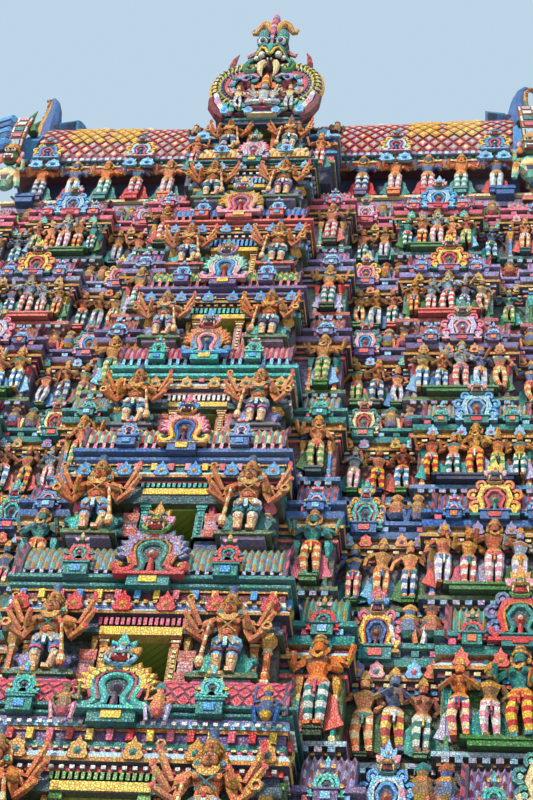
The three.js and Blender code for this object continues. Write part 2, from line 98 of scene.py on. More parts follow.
# Painted stucco, as shares of red, green and blue.
colours = {"cream": (0.93, 0.84, 0.64), "white": (0.93, 0.92, 0.88), "gold": (0.80, 0.58, 0.22),
           "yellow": (0.92, 0.76, 0.26), "ochre": (0.72, 0.47, 0.14), "orange": (0.86, 0.47, 0.18),
           "tan": (0.84, 0.52, 0.30), "copper": (0.68, 0.35, 0.18), "sienna": (0.80, 0.44, 0.19),
           "flesh": (0.92, 0.74, 0.56), "red": (0.76, 0.16, 0.15), "coral": (0.86, 0.39, 0.33),
           "rose": (0.82, 0.38, 0.47), "pink": (0.90, 0.62, 0.66), "maroon": (0.44, 0.10, 0.15),
           "plum": (0.32, 0.21, 0.31), "purple": (0.42, 0.33, 0.52), "lavender": (0.56, 0.53, 0.70),
           "lilac": (0.75, 0.71, 0.83), "slate": (0.33, 0.40, 0.54), "navy": (0.07, 0.15, 0.30),
           "blue": (0.11, 0.35, 0.58), "azure": (0.27, 0.58, 0.80), "sky": (0.55, 0.76, 0.88),
           "ice": (0.76, 0.87, 0.92), "teal": (0.10, 0.48, 0.46), "turquoise": (0.25, 0.68, 0.64),
           "mint": (0.54, 0.78, 0.69), "deepTeal": (0.06, 0.27, 0.30), "green": (0.23, 0.45, 0.18),
           "leaf": (0.42, 0.62, 0.28), "olive": (0.33, 0.38, 0.12), "moss": (0.15, 0.25, 0.09),
           "bronze": (0.52, 0.40, 0.22), "brown": (0.42, 0.25, 0.15), "silver": (0.66, 0.69, 0.72),
           "grey": (0.36, 0.38, 0.40), "black": (0.03, 0.03, 0.04)}


def linear(share):
    return share / 12.92 if share <= 0.04045 else ((share + 0.055) / 1.055) ** 2.4


saturation = 1.16


def purer(rgb):
    grey = sum(rgb) / 3
    return [linear(min(max(grey + (share - grey) * saturation, 0.0), 1.0)) for share in rgb]


paint = {name: purer(rgb) for name, rgb in colours.items()}


def moved(x, y, z):
    return Matrix.Translation((x, y, z))


def scaled(x, y, z):
    return Matrix.Diagonal((x, y, z, 1))


# Shapes: every face knows which painted part of the shape it belongs to.

partNames = ["bare"]


def partNumber(name):
    if name not in partNames:
        partNames.append(name)
    return partNames.index(name)


def newShape():
    bm = bmesh.new()
    bm.faces.layers.int.new("part")
    bm.verts.layers.int.new("row")
    return bm


def paintNew(bm, part):
    layer = bm.faces.layers.int["part"]
    for face in bm.faces:
        if face[layer] == 0:
            face[layer] = partNumber(part)


def newVerts(made):
    return [item for item in made["geom"] if isinstance(item, bmesh.types.BMVert)]


def newFace(made):
    return next(item for item in made["geom"] if isinstance(item, bmesh.types.BMFace))


def faceFrom(bm, corners):
    return bm.faces.new([bm.verts.new(corner) for corner in corners])


def spun(bm, face, degrees, steps, axis=(1, 0, 0), centre=(0, 0, 0)):
    bmesh.ops.spin(bm, geom=[face], cent=centre, axis=axis, angle=math.radians(degrees), steps=steps,
                   use_merge=False, use_duplicate=False)


def rotated(bm, degrees, verts, axis="X"):
    bmesh.ops.rotate(bm, cent=(0, 0, 0), matrix=Matrix.Rotation(math.radians(degrees), 3, axis),
                     verts=verts)


def mirrored(side, points):
    return [(side * x, y, z) for x, y, z in points]


def bothHalves(half):
    return half + [(-x, z) for x, z in reversed(half)]


def slab(bm, part, low, high):
    low, high = Vector(low), Vector(high)
    size = scaled(*(abs(step) for step in high - low))
    bmesh.ops.create_cube(bm, size=1, matrix=Matrix.Translation((low + high) / 2) @ size)
    paintNew(bm, part)


def orb(bm, part, centre, radii, around=6, rings=4):
    place = moved(*centre) @ scaled(*radii)
    bmesh.ops.create_uvsphere(bm, u_segments=around, v_segments=rings, radius=1, matrix=place)
    paintNew(bm, part)


# A limb, horn or turned post: a ring of sides drawn out through the points.
def tube(bm, parts, points, radii, sides=6, flat=1.0, axis=None):
    layer = bm.faces.layers.int["part"]
    points = [Vector(point) for point in points]
    last = len(points) - 1
    parts = [parts] * last if isinstance(parts, str) else parts
    ways = [Vector(axis) if axis else (points[min(i + 1, last)] - points[max(i - 1, 0)]).normalized()
            for i in range(last + 1)]
    turn = Vector((0, 0, 1)).rotation_difference(ways[0])
    place = None
    for i, point in enumerate(points):
        if i:
            turn = ways[i - 1].rotation_difference(ways[i]) @ turn
        radius = max(radii[i], 0.001)
        now = Matrix.Translation(point) @ turn.to_matrix().to_4x4() @ scaled(radius, radius * flat, 1)
        if i == 0:
            made = bmesh.ops.create_circle(bm, cap_ends=True, segments=sides, radius=1, matrix=now)
            cap = made["verts"][0].link_faces[0]
            cap[layer] = partNumber(parts[0])
        else:
            made = bmesh.ops.extrude_face_region(bm, geom=[cap])
            cap = newFace(made)
            bmesh.ops.transform(bm, matrix=now @ place.inverted(), verts=newVerts(made))
            for vert in cap.verts:
                for face in vert.link_faces:
                    face[layer] = partNumber(parts[i - 1]) if face is not cap else face[layer]
            cap[layer] = partNumber(parts[i - 1])
        place = now


def turned(bm, parts, profile, centre=(0, 0, 0), sides=8, flat=1.0, axis=(0, 0, 1)):
    centre, axis = Vector(centre), Vector(axis)
    tube(bm, parts, [centre + axis * height for radius, height in profile],
         [radius for radius, height in profile], sides, flat, axis)


# A limb through its joints, cut into rings of one colour after the other.
def limb(bm, parts, joints, radii, sides=5, cuts=1):
    points, sizes = [Vector(joints[0])], [radii[0]]
    for a, b, ra, rb in zip(joints, joints[1:], radii, radii[1:]):
        for i in range(1, cuts + 1):
            points.append(Vector(a).lerp(Vector(b), i / cuts))
            sizes.append(ra + (rb - ra) * i / cuts)
    parts = [parts] if isinstance(parts, str) else parts
    tube(bm, [parts[i % len(parts)] for i in range(len(points) - 1)], points, sizes, sides)


# A flat ornament in the plane of the wall, from its back to its front.
def plate(bm, part, outline, back, front, inner=None):
    face = faceFrom(bm, [(x, back, z) for x, z in outline])
    made = bmesh.ops.extrude_face_region(bm, geom=[face])
    bmesh.ops.translate(bm, vec=(0, front - back, 0), verts=newVerts(made))
    cap = newFace(made)
    if inner:
        innerPart, margin, depth = inner
        bmesh.ops.inset_region(bm, faces=[cap], thickness=margin, depth=depth, use_even_offset=True)
        cap[bm.faces.layers.int["part"]] = partNumber(innerPart)
    paintNew(bm, part)


# Part of a flat ring, between two angles in degrees, counted from +X towards +Z.
def arcBand(bm, part, centre, inner, outer, back, front, fromAngle, toAngle, steps):
    x, z = centre
    start = math.radians(fromAngle)
    corners = [(inner, back), (outer, back), (outer, front), (inner, front)]
    face = faceFrom(bm, [(x + r * math.cos(start), y, z + r * math.sin(start)) for r, y in corners])
    spun(bm, face, fromAngle - toAngle, steps, (0, 1, 0), (x, 0, z))
    paintNew(bm, part)


def disc(bm, part, centre, radius, back, front, sides=10, grow=1.0):
    x, z = centre
    turned(bm, part, [(radius, 0), (radius * grow, back - front)], (x, back, z), sides, 1.0, (0, -1, 0))


# A leaf that points outwards from a centre, at an angle in degrees.
def leaf(bm, part, centre, fromRadius, length, width, angle, back, front, inner=None):
    turn, outline = math.radians(angle), []
    for along, across in ((0, -0.3), (0.45, -0.5), (1, 0), (0.45, 0.5), (0, 0.3)):
        r, t = fromRadius + along * length, across * width
        outline.append((centre[0] + r * math.cos(turn) - t * math.sin(turn),
                        centre[1] + r * math.sin(turn) + t * math.cos(turn)))
    plate(bm, part, outline, back, front, inner)


# A closed profile drawn along plan corners. Each corner says how it moves as the profile stands out.
def sweep(bm, corners, profile, parts):
    layer, row = bm.faces.layers.int["part"], bm.verts.layers.int["row"]
    count = len(profile)

    def put(vert, corner):
        x, y, spreadX, spreadY = corner
        out, z = profile[vert[row] - 1]
        vert.co = (x + spreadX * out, y + spreadY * out, z)

    verts = []
    for i in range(count):
        vert = bm.verts.new()
        vert[row] = i + 1
        put(vert, corners[0])
        verts.append(vert)
    cap = bm.faces.new(verts)
    cap[layer] = partNumber(parts[-1])
    for corner in corners[1:]:
        made = bmesh.ops.extrude_face_region(bm, geom=[cap])
        cap = newFace(made)
        cap[layer] = partNumber(parts[-1])
        for vert in newVerts(made):
            put(vert, corner)
            for face in vert.link_faces:
                if face is not cap:
                    rows = sorted({v[row] for v in face.verts})
                    side = rows[0] if rows[-1] - rows[0] == 1 else count
                    face[layer] = partNumber(parts[side - 1])


# A finished shape as arrays, ready to be set in many places.
def template(bm):
    bmesh.ops.recalc_face_normals(bm, faces=bm.faces)
    mesh = bpy.data.meshes.new("template")
    bm.to_mesh(mesh)
    bm.free()
    points = np.empty(len(mesh.vertices) * 3, dtype=np.float64)
    corners = np.empty(len(mesh.loops), dtype=np.int64)
    starts = np.empty(len(mesh.polygons), dtype=np.int64)
    totals = np.empty(len(mesh.polygons), dtype=np.int64)
    parts = np.empty(len(mesh.polygons), dtype=np.int64)
    mesh.vertices.foreach_get("co", points)
    mesh.loops.foreach_get("vertex_index", corners)
    mesh.polygons.foreach_get("loop_start", starts)
    mesh.polygons.foreach_get("loop_total", totals)
    mesh.attributes["part"].data.foreach_get("value", parts)
    bpy.data.meshes.remove(mesh)
    within = np.arange(len(corners)) - np.repeat(starts, totals)
    flipped = corners[np.repeat(starts + totals, totals) - 1 - within]
    return SimpleNamespace(points=points.reshape(-1, 3), corners=corners, flipped=flipped,
                           starts=starts, totals=totals, parts=parts)


def shapeOf(make, *values, **settings):
    bm = newShape()
    make(bm, *values, **settings)
    return template(bm)


def paletteTable(palette):
    return np.array([paint.get(palette.get(name, name), paint["cream"]) for name in partNames])


# Copies of templates, each with its place and its palette, joined into one mesh.
def joinedMesh(name, copies, unevenness=0.07):
    points, corners, starts, tints = [], [], [], []
    pointCount = cornerCount = 0
    for shape, place, palette in copies:
        matrix = np.array(place)
        points.append(shape.points @ matrix[:3, :3].T + matrix[:3, 3])
        turnedOver = np.linalg.det(matrix[:3, :3]) < 0
        corners.append((shape.flipped if turnedOver else shape.corners) + pointCount)
        starts.append(shape.starts + cornerCount)
        shade = 1 + random.uniform(-unevenness, unevenness)
        tints.append(np.repeat(paletteTable(palette)[shape.parts] * shade, shape.totals, axis=0))
        pointCount += len(shape.points)
        cornerCount += len(shape.corners)
    points, corners = np.concatenate(points) * tower["scale"], np.concatenate(corners)
    starts, tints = np.concatenate(starts), np.concatenate(tints)
    mesh = bpy.data.meshes.new(name)
    mesh.vertices.add(pointCount)
    mesh.vertices.foreach_set("co", points.astype(np.float32).ravel())
    mesh.loops.add(cornerCount)
    mesh.loops.foreach_set("vertex_index", corners.astype(np.int32))
    mesh.polygons.add(len(starts))
    mesh.polygons.foreach_set("loop_start", starts.astype(np.int32))
    mesh.update(calc_edges=True)
    layer = mesh.attributes.new("paint", "FLOAT_COLOR", "CORNER")
    rgba = np.concatenate([np.clip(tints, 0, 1), np.ones((len(tints), 1))], axis=1)
    layer.data.foreach_set("color", rgba.astype(np.float32).ravel())
    mesh.polygons.foreach_set("use_smooth", np.ones(len(starts), dtype=bool))
    mesh.set_sharp_from_angle(angle=math.radians(38))
    return mesh


totalTriangles = 0


def addPiece(name, copies, material, slot, *nodes):
    global totalTriangles
    mesh = joinedMesh(name, copies)
    mesh.materials.append(material)
    piece = bpy.data.objects.new(name, mesh)
    bpy.context.scene.collection.objects.link(piece)
    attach(piece, "root")
    if nodes:
        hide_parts(*nodes)
    triangles = sum(int((shape.totals - 2).sum()) for shape, *_ in copies)
    totalTriangles += triangles
    print(name, triangles, "triangles")


# A place for a copy: turned by so many degrees, so high and so wide.
def at(x, y, z, turn=0, size=1.0, wide=None):
    wide = wide or size
    return moved(x, y, z) @ Matrix.Rotation(math.radians(turn), 4, "Z") @ scaled(wide, wide, size)


front = Matrix.Identity(4)
back = Matrix.Rotation(math.pi, 4, "Z")
flipX, flipY = scaled(-1, 1, 1), scaled(1, -1, 1)
quarters = [front, flipX, flipY, flipX @ flipY]


# Materials.

# how the stucco weathers; its darkening of corners, undersides and relief lines is painted shade
stucco = {
    "roughness": 0.55, "specular": 0.4,
    "fade": 0.14, "fadeSize": 1.1, "fadeTint": (0.80, 0.78, 0.74, 1),
    "shadeAndGrime": 1.0, "cornerShadeReach": 0.11, "grimeAndShadeTint": (0.022, 0.019, 0.024, 1),
    "streak": 0.25, "streakSize": 6.0, "streakStretch": (1, 1, 0.12), "underside": 0.45,
    "cell": 34.0, "cellWidth": 0.16, "cellGrooveShade": 0.42, "cellTint": 0.40, "cellHeight": 0.010,
    "grainSize": 90.0, "grainHeight": 0.0016,
}
carvedStucco = dict(stucco, course=0.045, courseLength=0.062, courseGap=0.006, courseLine=0.45,
                    courseTint=0.2, courseHeight=0.012, cell=44.0, cellGrooveShade=0.36)


class Nodes:
    def __init__(self, name):
        self.material = bpy.data.materials.new(name)
        self.material.use_nodes = True
        self.tree = self.material.node_tree
        self.shader = self.tree.nodes["Principled BSDF"]

    def fill(self, node, values):
        for key, value in values.items():
            if isinstance(value, bpy.types.NodeSocket):
                self.tree.links.new(value, node.inputs[key])
            else:
                node.inputs[key].default_value = value
        return node

    def add(self, kind, values=None, **settings):
        node = self.tree.nodes.new("ShaderNode" + kind)
        for key, value in settings.items():
            setattr(node, key, value)
        return self.fill(node, values or {})

    def place(self):
        return self.add("TexCoord").outputs["Object"]

    def mix(self, share, a, b, blend="MIX"):
        return self.add("Mix", {0: share, 6: a, 7: b}, data_type="RGBA", blend_type=blend).outputs[2]

    def math(self, operation, a, b=0.0):
        return self.add("Math", {0: a, 1: b}, operation=operation).outputs[0]

    def over(self, colour, share, strength, tint):
        return self.mix(self.math("MULTIPLY", share, strength), colour, tint)

    def noise(self, scale, detail=3.0, stretch=(1, 1, 1)):
        if not hasattr(self, "noisePlace"):
            self.noisePlace = self.place()
        place = self.add("Mapping", {"Scale": stretch, "Vector": self.noisePlace}).outputs[0]
        return self.add("TexNoise", {"Scale": scale, "Detail": detail, "Vector": place}).outputs["Fac"]

    def ramp(self, value, low, high):
        return self.add("MapRange", {"From Min": low, "From Max": high, "Value": value}).outputs[0]

    def bump(self, height, distance, strength=1.0, under=None):
        node = self.add("Bump", {"Strength": strength, "Distance": distance, "Height": height})
        return self.fill(node, {"Normal": under} if under else {}).outputs[0]

    # Bricks in courses that run round the tower.
    def courses(self, values, **settings):
        split = self.add("SeparateXYZ", {0: self.place()}).outputs
        flat = self.add("CombineXYZ", {"X": self.math("ADD", split["X"], split["Y"]), "Y": split["Z"]})
        return self.add("TexBrick", dict(values, Scale=1.0, Vector=flat.outputs[0]), **settings)


def carvedRows(nodes, colour, look):
    # rows of small raised blocks and beads, as are cast along every band
    rows = nodes.courses({"Brick Width": look["courseLength"], "Row Height": look["course"],
                          "Mortar Size": look["courseGap"], "Mortar Smooth": 0.6,
                          "Color1": (0, 0, 0, 1), "Color2": (1, 1, 1, 1)}, offset=0.5).outputs
    pick = nodes.add("ValToRGB", {"Fac": rows["Color"]})
    ramp = pick.color_ramp
    ramp.interpolation = "CONSTANT"
    tints = ["cream", "maroon", "sky", "gold", "pink", "deepTeal"]
    for i, tint in enumerate(tints):
        element = ramp.elements[i] if i < 2 else ramp.elements.new(i / len(tints))
        element.position, element.color = i / len(tints), (*paint[tint], 1)
    colour = nodes.mix(look["courseTint"], colour, pick.outputs["Color"])
    colour = nodes.over(colour, rows["Fac"], look["courseLine"], look["grimeAndShadeTint"])
    return colour, nodes.math("SUBTRACT", 1.0, rows["Fac"])


def weatheredAndShaded(nodes, colour, look):
    # relief lines darkened as painted shade in their grooves, faded patches, rain streaks, and painted
    # shade on the undersides and in the corners
    place, shadeAndGrime = nodes.place(), look["grimeAndShadeTint"]
    cells = nodes.add("TexVoronoi", {"Scale": look["cell"], "Vector": place}, feature="DISTANCE_TO_EDGE")
    line = nodes.ramp(cells.outputs["Distance"], look["cellWidth"], 0.0)
    spots = nodes.add("TexVoronoi", {"Scale": look["cell"], "Vector": place}, feature="F1")
    colour = nodes.mix(look["cellTint"], colour, spots.outputs["Color"], "OVERLAY")
    # the relief lines are darkened: painted shade in their grooves
    colour = nodes.over(colour, line, look["cellGrooveShade"], shadeAndGrime)
    fade = nodes.ramp(nodes.noise(look["fadeSize"], 4.0), 0.35, 0.75)
    colour = nodes.over(colour, fade, look["fade"], look["fadeTint"])
    streak = nodes.ramp(nodes.noise(look["streakSize"], 4.0, look["streakStretch"]), 0.52, 0.78)
    colour = nodes.over(colour, streak, look["streak"], shadeAndGrime)
    # surfaces that face downwards are darkened: painted shade under things
    facing = nodes.add("SeparateXYZ", {0: nodes.add("NewGeometry").outputs["Normal"]})
    paintedUnderShade = nodes.ramp(facing.outputs["Z"], -0.35, -0.95)
    colour = nodes.over(colour, paintedUnderShade, look["underside"], shadeAndGrime)
    # hollows and corners darkened by ambient occlusion: painted shade
    corner = nodes.add("AmbientOcclusion", {"Distance": look["cornerShadeReach"]}, samples=4)
    paintedCornerShade = nodes.ramp(corner.outputs["AO"], 0.75, 0.15)
    return nodes.over(colour, paintedCornerShade, look["shadeAndGrime"], shadeAndGrime), line


def stuccoMaterial(name, look, plain=None):
    nodes, under = Nodes(name), None
    if plain:
        colour = (*paint[plain], 1)
    else:
        colour = nodes.add("Attribute", attribute_name="paint").outputs["Color"]
    if "course" in look:
        colour, raised = carvedRows(nodes, colour, look)
        under = nodes.bump(raised, look["courseHeight"])
    colour, line = weatheredAndShaded(nodes, colour, look)
    relief = nodes.bump(nodes.math("SUBTRACT", 1.0, line), look["cellHeight"], 1.0, under)
    grain = nodes.bump(nodes.noise(look["grainSize"], 2.0), look["grainHeight"], 0.6, relief)
    nodes.fill(nodes.shader, {"Base Color": colour, "Roughness": look["roughness"], "Normal": grain,
                              "Specular IOR Level": look["specular"]})
    return nodes.material


paintedStucco = stuccoMaterial("painted_stucco", stucco)
carvedBands = stuccoMaterial("carved_stucco_bands", carvedStucco)
roofStucco = stuccoMaterial("shrine_roof_stucco",
                            dict(stucco, shadeAndGrime=0.7, cornerShadeReach=0.05, cell=40.0, cellGrooveShade=0.2))

boards = {"plank": 0.085, "light": (0.24, 0.29, 0.03, 1), "dark": (0.11, 0.14, 0.015, 1), "joint": 0.12,
          "jointDepth": 0.004, "grainStretch": (1, 1, 8), "roughness": 0.55}


def boardMaterial():
    # green boards that line the doorways: planks with thin dark joints
    nodes = Nodes("green_boards")
    wave = nodes.add("TexWave", {"Vector": nodes.place(), "Scale": 0.5 / boards["plank"],
                                 "Distortion": 0.0}, bands_direction="DIAGONAL")
    joint = nodes.ramp(wave.outputs["Fac"], 0.0, boards["joint"])
    wood = nodes.mix(nodes.noise(4.0, 4.0, boards["grainStretch"]), boards["light"], boards["dark"])
    nodes.fill(nodes.shader,
               {"Base Color": nodes.mix(joint, boards["dark"], wood),
                "Roughness": boards["roughness"], "Normal": nodes.bump(joint, boards["jointDepth"])})
    return nodes.material


greenBoards = boardMaterial()

granite = {
    "light": (0.36, 0.32, 0.28, 1), "dark": (0.17, 0.155, 0.14, 1), "stain": (0.075, 0.068, 0.06, 1),
    "speckSize": 60.0, "speck": 0.35, "stainShare": 0.6, "stainStretch": (1, 1, 0.1),
    "blockLength": 0.9, "blockHeight": 0.30, "joint": 0.004, "jointDepth": 0.006, "roughness": 0.85,
}


def graniteMaterial():
    # dressed blocks in courses, speckled, with rain stains
    nodes = Nodes("weathered_granite")
    body = nodes.mix(nodes.ramp(nodes.noise(1.2, 6.0), 0.3, 0.7), granite["dark"], granite["light"])
    speck = nodes.ramp(nodes.noise(granite["speckSize"], 2.0), 0.35, 0.65)
    body = nodes.over(body, speck, granite["speck"], granite["light"])
    blocks = nodes.courses({"Brick Width": granite["blockLength"], "Row Height": granite["blockHeight"],
                            "Mortar Size": granite["joint"], "Color1": (1, 1, 1, 1),
                            "Color2": (0.82, 0.82, 0.82, 1),
                            "Mortar": (0.25, 0.25, 0.25, 1)}).outputs["Color"]
    body = nodes.mix(1.0, body, blocks, "MULTIPLY")
    stain = nodes.ramp(nodes.noise(3.0, 5.0, granite["stainStretch"]), 0.5, 0.8)
    body = nodes.over(body, stain, granite["stainShare"], granite["stain"])
    joints = nodes.bump(blocks, granite["jointDepth"])
    nodes.fill(nodes.shader, {"Base Color": body, "Roughness": granite["roughness"],
                              "Normal": nodes.bump(nodes.noise(25.0, 4.0), 0.004, 1.0, joints)})
    return nodes.material


weatheredGranite = graniteMaterial()
print("materials made")


# Ornaments. Each stands in the plane of the wall and faces -Y.


# A rounded band that follows a path of x and z, mirrored to both sides of the middle.
def ribbon(bm, part, half, width, y, sides=6, flat=0.8):
    path = [(x, y, z) for x, z in half] + [(-x, y, z) for x, z in reversed(half) if x > 0.001]
    tube(bm, part, path, [width] * len(path), sides, flat)


# A horseshoe gable with a lion face over it, 1 wide, its foot at 0 and its crest at about 1.3.
outerBand = [(0.47, 0.17), (0.485, 0.08), (0.40, 0.025), (0.28, 0.05), (0.235, 0.14), (0.27, 0.25),
             (0.325, 0.36), (0.32, 0.48), (0.25, 0.59), (0.13, 0.65), (0.0, 0.67)]
innerBand = [(0.21, 0.0), (0.13, 0.06), (0.115, 0.17), (0.165, 0.28), (0.195, 0.38), (0.17, 0.47),
             (0.09, 0.53), (0.0, 0.545)]


def thinned(path, keep):
    return path if keep else path[:1] + path[2:-1:2] + path[-1:]


def horseshoe(bm, detail):
    sides = (3, 4, 5, 7)[detail]
    outer, inner = thinned(outerBand, detail > 2), thinned(innerBand, detail > 2)
    disc(bm, "ground", (0, 0.33), 0.30, 0.03, -0.03, (6, 7, 8, 14)[detail])
    slab(bm, "ground", (-0.27, -0.03, 0.0), (0.27, 0.03, 0.2))
    ribbon(bm, "ringA", outer, 0.075, -0.03, sides)
    ribbon(bm, "ringB", inner, 0.052, -0.04, sides)
    if detail >= 2:
        ribbon(bm, "rim", [(0.20, 0.10), (0.25, 0.34), (0.245, 0.46), (0.17, 0.56), (0.0, 0.605)], 0.018,
               -0.075, 4)
    if detail >= 3:
        between = [((a[0] + 0.062 if i < 8 else a[0]) if a[0] > 0 else 0, a[1] + (0.06 if i > 7 else 0))
                   for i, a in enumerate(outerBand[4:])]
        ribbon(bm, "rim", between, 0.018, -0.075, 4)
    turned(bm, "core", [(0.095, 0), (0.03, 0.08)], (0, -0.02, 0.33), 5 + detail, 1.0, (0, -1, 0))
    if detail >= 2:
        turned(bm, "coreBoss", [(0.045, 0), (0.02, 0.03)], (0, -0.09, 0.33), 5, 1.0, (0, -1, 0))
        limb(bm, "core", [(0, -0.03, 0.26), (0, -0.03, 0.02)], [0.03, 0.06], 5, 1)
    if detail >= 3:
        for side in (-1, 1):
            orb(bm, "curl", (side * 0.43, -0.06, 0.12), (0.05, 0.05, 0.045), 6, 4)
    slab(bm, "foot", (-0.50, -0.10, -0.06), (0.50, 0.03, -0.005))
    leaves = (4, 7, 0, 13)[detail]
    lobes = [((0.38, 0.17), 0.15, -160, 120), ((0.44, 0.44), 0.13, -120, 140),
             ((0.28, 0.66), 0.12, -60, 190)]
    for (x, z), radius, fromAngle, toAngle in lobes if detail == 2 else ():
        for side in (-1, 1):
            ends = (fromAngle, toAngle) if side > 0 else (180 - toAngle, 180 - fromAngle)
            arcBand(bm, "leaf", (side * x, z), 0.5 * radius, radius, 0.02, -0.07, *ends, 6)
            disc(bm, "leafVein", (side * x, z), 0.4 * radius, 0.02, -0.05, 5)
    for i in range(leaves):
        angle = -12 + 204 * i / (leaves - 1)
        turn = math.radians(angle)
        root = (0.31 * math.cos(turn), 0.37 + 0.23 * math.sin(turn))
        if abs(angle - 90) < 16 and detail:
            continue
        lift = angle + (8 if angle < 90 else -8)
        leaf(bm, "leaf", root, 0.02, 0.21, 0.14, lift, 0.03, -0.05, ("leafVein", 0.016, 0.014)
             if detail == 3 else None)
        if detail == 3:
            leaf(bm, "leafVein", root, 0.0, 0.15, 0.09, lift + 10, 0.03, -0.085)
    lionFace(bm, detail)


def lionFace(bm, detail):
    around, rings = (5, 5, 6, 8)[detail], (3, 3, 4, 5)[detail]
    orb(bm, "face", (0, -0.06, 0.90), (0.13, 0.11, 0.11), around, rings)
    if detail >= 1:
        orb(bm, "mouth", (0, -0.10, 0.775), (0.15, 0.09, 0.065), around, rings)
    leaf(bm, "crest", (0, 0.97), 0.0, 0.30, 0.15, 90, 0.0, -0.08)
    for side in (-1, 1):
        leaf(bm, "ear", (side * 0.10, 0.90), 0.0, 0.18, 0.15, 90 - side * 52, 0.0, -0.07)
        if detail >= 1:
            orb(bm, "eye", (side * 0.068, -0.145, 0.915), (0.04, 0.03, 0.036), 5, 3)
        if detail >= 2:
            orb(bm, "pupil", (side * 0.068, -0.170, 0.915), (0.018, 0.01, 0.018), 4, 3)
            tube(bm, "lip",
                 [(side * 0.165, -0.12, 0.80), (side * 0.12, -0.19, 0.845),
                  (side * 0.06, -0.215, 0.83), (0, -0.22, 0.80)], [0.014, 0.022, 0.022, 0.016], 3)
            tube(bm, "tusk", mirrored(side, [(0.105, -0.16, 0.81), (0.13, -0.19, 0.69)]), [0.022, 0.004], 4)
            leaf(bm, "crest", (side * 0.04, 0.97), 0.0, 0.21, 0.12, 90 - side * 36, 0.0, -0.06)
        if detail >= 3:
            orb(bm, "tooth", (side * 0.05, -0.185, 0.785), (0.02, 0.015, 0.028), 4, 3)
            tube(bm, "horn", mirrored(side, [(0.04, -0.13, 0.955), (0.10, -0.15, 0.985),
                                             (0.155, -0.12, 0.955)]), [0.018, 0.026, 0.006], 4)
            tube(bm, "cheek", mirrored(side, [(0.10, -0.12, 0.70), (0.17, -0.12, 0.74), (0.19, -0.10, 0.81),
                                              (0.15, -0.10, 0.84)]), [0.03, 0.036, 0.03, 0.012], 5)
    if detail >= 1:
        orb(bm, "snout", (0, -0.15, 0.845), (0.085, 0.08, 0.045), around, rings)
        tube(bm, "cheek", [(-0.17, -0.09, 0.75), (-0.10, -0.10, 0.69), (0.10, -0.10, 0.69),
                           (0.17, -0.09, 0.75)], [0.02, 0.036, 0.036, 0.02], 3 + (detail > 1))
    if detail >= 2:
        orb(bm, "crestBud", (0, -0.08, 1.04), (0.035, 0.03, 0.04), 4, 3)


# A small horseshoe for cornices, 1 wide and about 1.2 high.
def cornicePetal(bm, plain=False):
    half = [(0.34, 0.0), (0.52, 0.22), (0.36, 0.50), (0.38, 0.76), (0.15, 0.88)]
    half = half[1::2] if plain else half
    plate(bm, "petal", half + [(0, 1.2)] + [(-x, z) for x, z in reversed(half)], 0.10, -0.12)
    if not plain:
        turned(bm, "core", [(0.22, 0), (0.08, 0.12)], (0, -0.12, 0.36), 5, 1.0, (0, -1, 0))


# A stepped pedestal, 1 each way, standing on its foot's middle.
def stool(bm):
    slab(bm, "block", (-0.44, -0.42, 0), (0.44, 0.5, 0.62))
    slab(bm, "block", (-0.5, -0.5, 0.62), (0.5, 0.5, 1))


# A square door post with a beaded face, 1 high and 1 wide.
def doorPost(bm):
    slab(bm, "shaft", (-0.36, -0.30, 0.0), (0.36, 0.3, 1.0))
    slab(bm, "trim", (-0.5, -0.42, 0.0), (0.5, 0.3, 0.07))
    slab(bm, "trim", (-0.5, -0.42, 0.84), (0.5, 0.3, 0.89))
    slab(bm, "capital", (-0.62, -0.5, 0.91), (0.62, 0.3, 1.0))
    slab(bm, "capital", (-0.42, -0.36, 0.74), (0.42, 0.3, 0.80))
    for i in range(6):
        slab(bm, "bead", (-0.2, -0.42, 0.12 + 0.10 * i), (0.2, -0.25, 0.18 + 0.10 * i))


# A block of the frieze or a tooth of a cornice, 1 each way, standing on its foot's middle.
def block(bm):
    slab(bm, "block", (-0.5, -0.5, 0), (0.5, 0.5, 1))


# A quarter-round rib of a barrel roof: 1 deep towards -Y and 1 high, 1 wide along X.
def rib(bm, steps):
    spun(bm, faceFrom(bm, [(-0.5, -0.98, 0), (0, -1.09, 0), (0.5, -0.98, 0)]), -90, steps)
    layer = bm.faces.layers.int["part"]
    for face in bm.faces:
        middle = face.calc_center_median()
        turn = math.atan2(middle.z, -middle.y) / (math.pi / 2) * steps
        face[layer] = partNumber("ribB" if int(turn) % 2 else "ribA")


# One raised lozenge of a lattice, 1 across each way, its point 1 towards -Y.
def lozenge(bm):
    plate(bm, "border", [(-0.47, 0), (0, -0.47), (0.47, 0), (0, 0.47)], 0.3, -0.35, ("tile", 0.15, 0.3))


# The flared shell at the end of a barrel roof, opening towards +X, for a barrel 1 deep and 1 high.
def hood(bm):
    outline = [(-0.14, 0.97), (-0.02, 1.10), (0.16, 1.12), (0.34, 1.24), (0.38, 1.17), (0.20, 1.00),
               (0.0, 0.90)]
    spun(bm, faceFrom(bm, [(x, -r, 0) for x, r in outline]), -104, 9)
    rotated(bm, 10, bm.verts)
    layer = bm.faces.layers.int["part"]
    for face in bm.faces:
        middle = face.calc_center_median()
        turn = math.degrees(math.atan2(middle.z, -middle.y)) + 10
        toothed = middle.x > 0.2 and int(turn / 11.56) % 2
        face[layer] = partNumber("shellTooth" if toothed else "shell")


# Figures. Each is 1 high, stands on its feet at 0 and faces -Y.

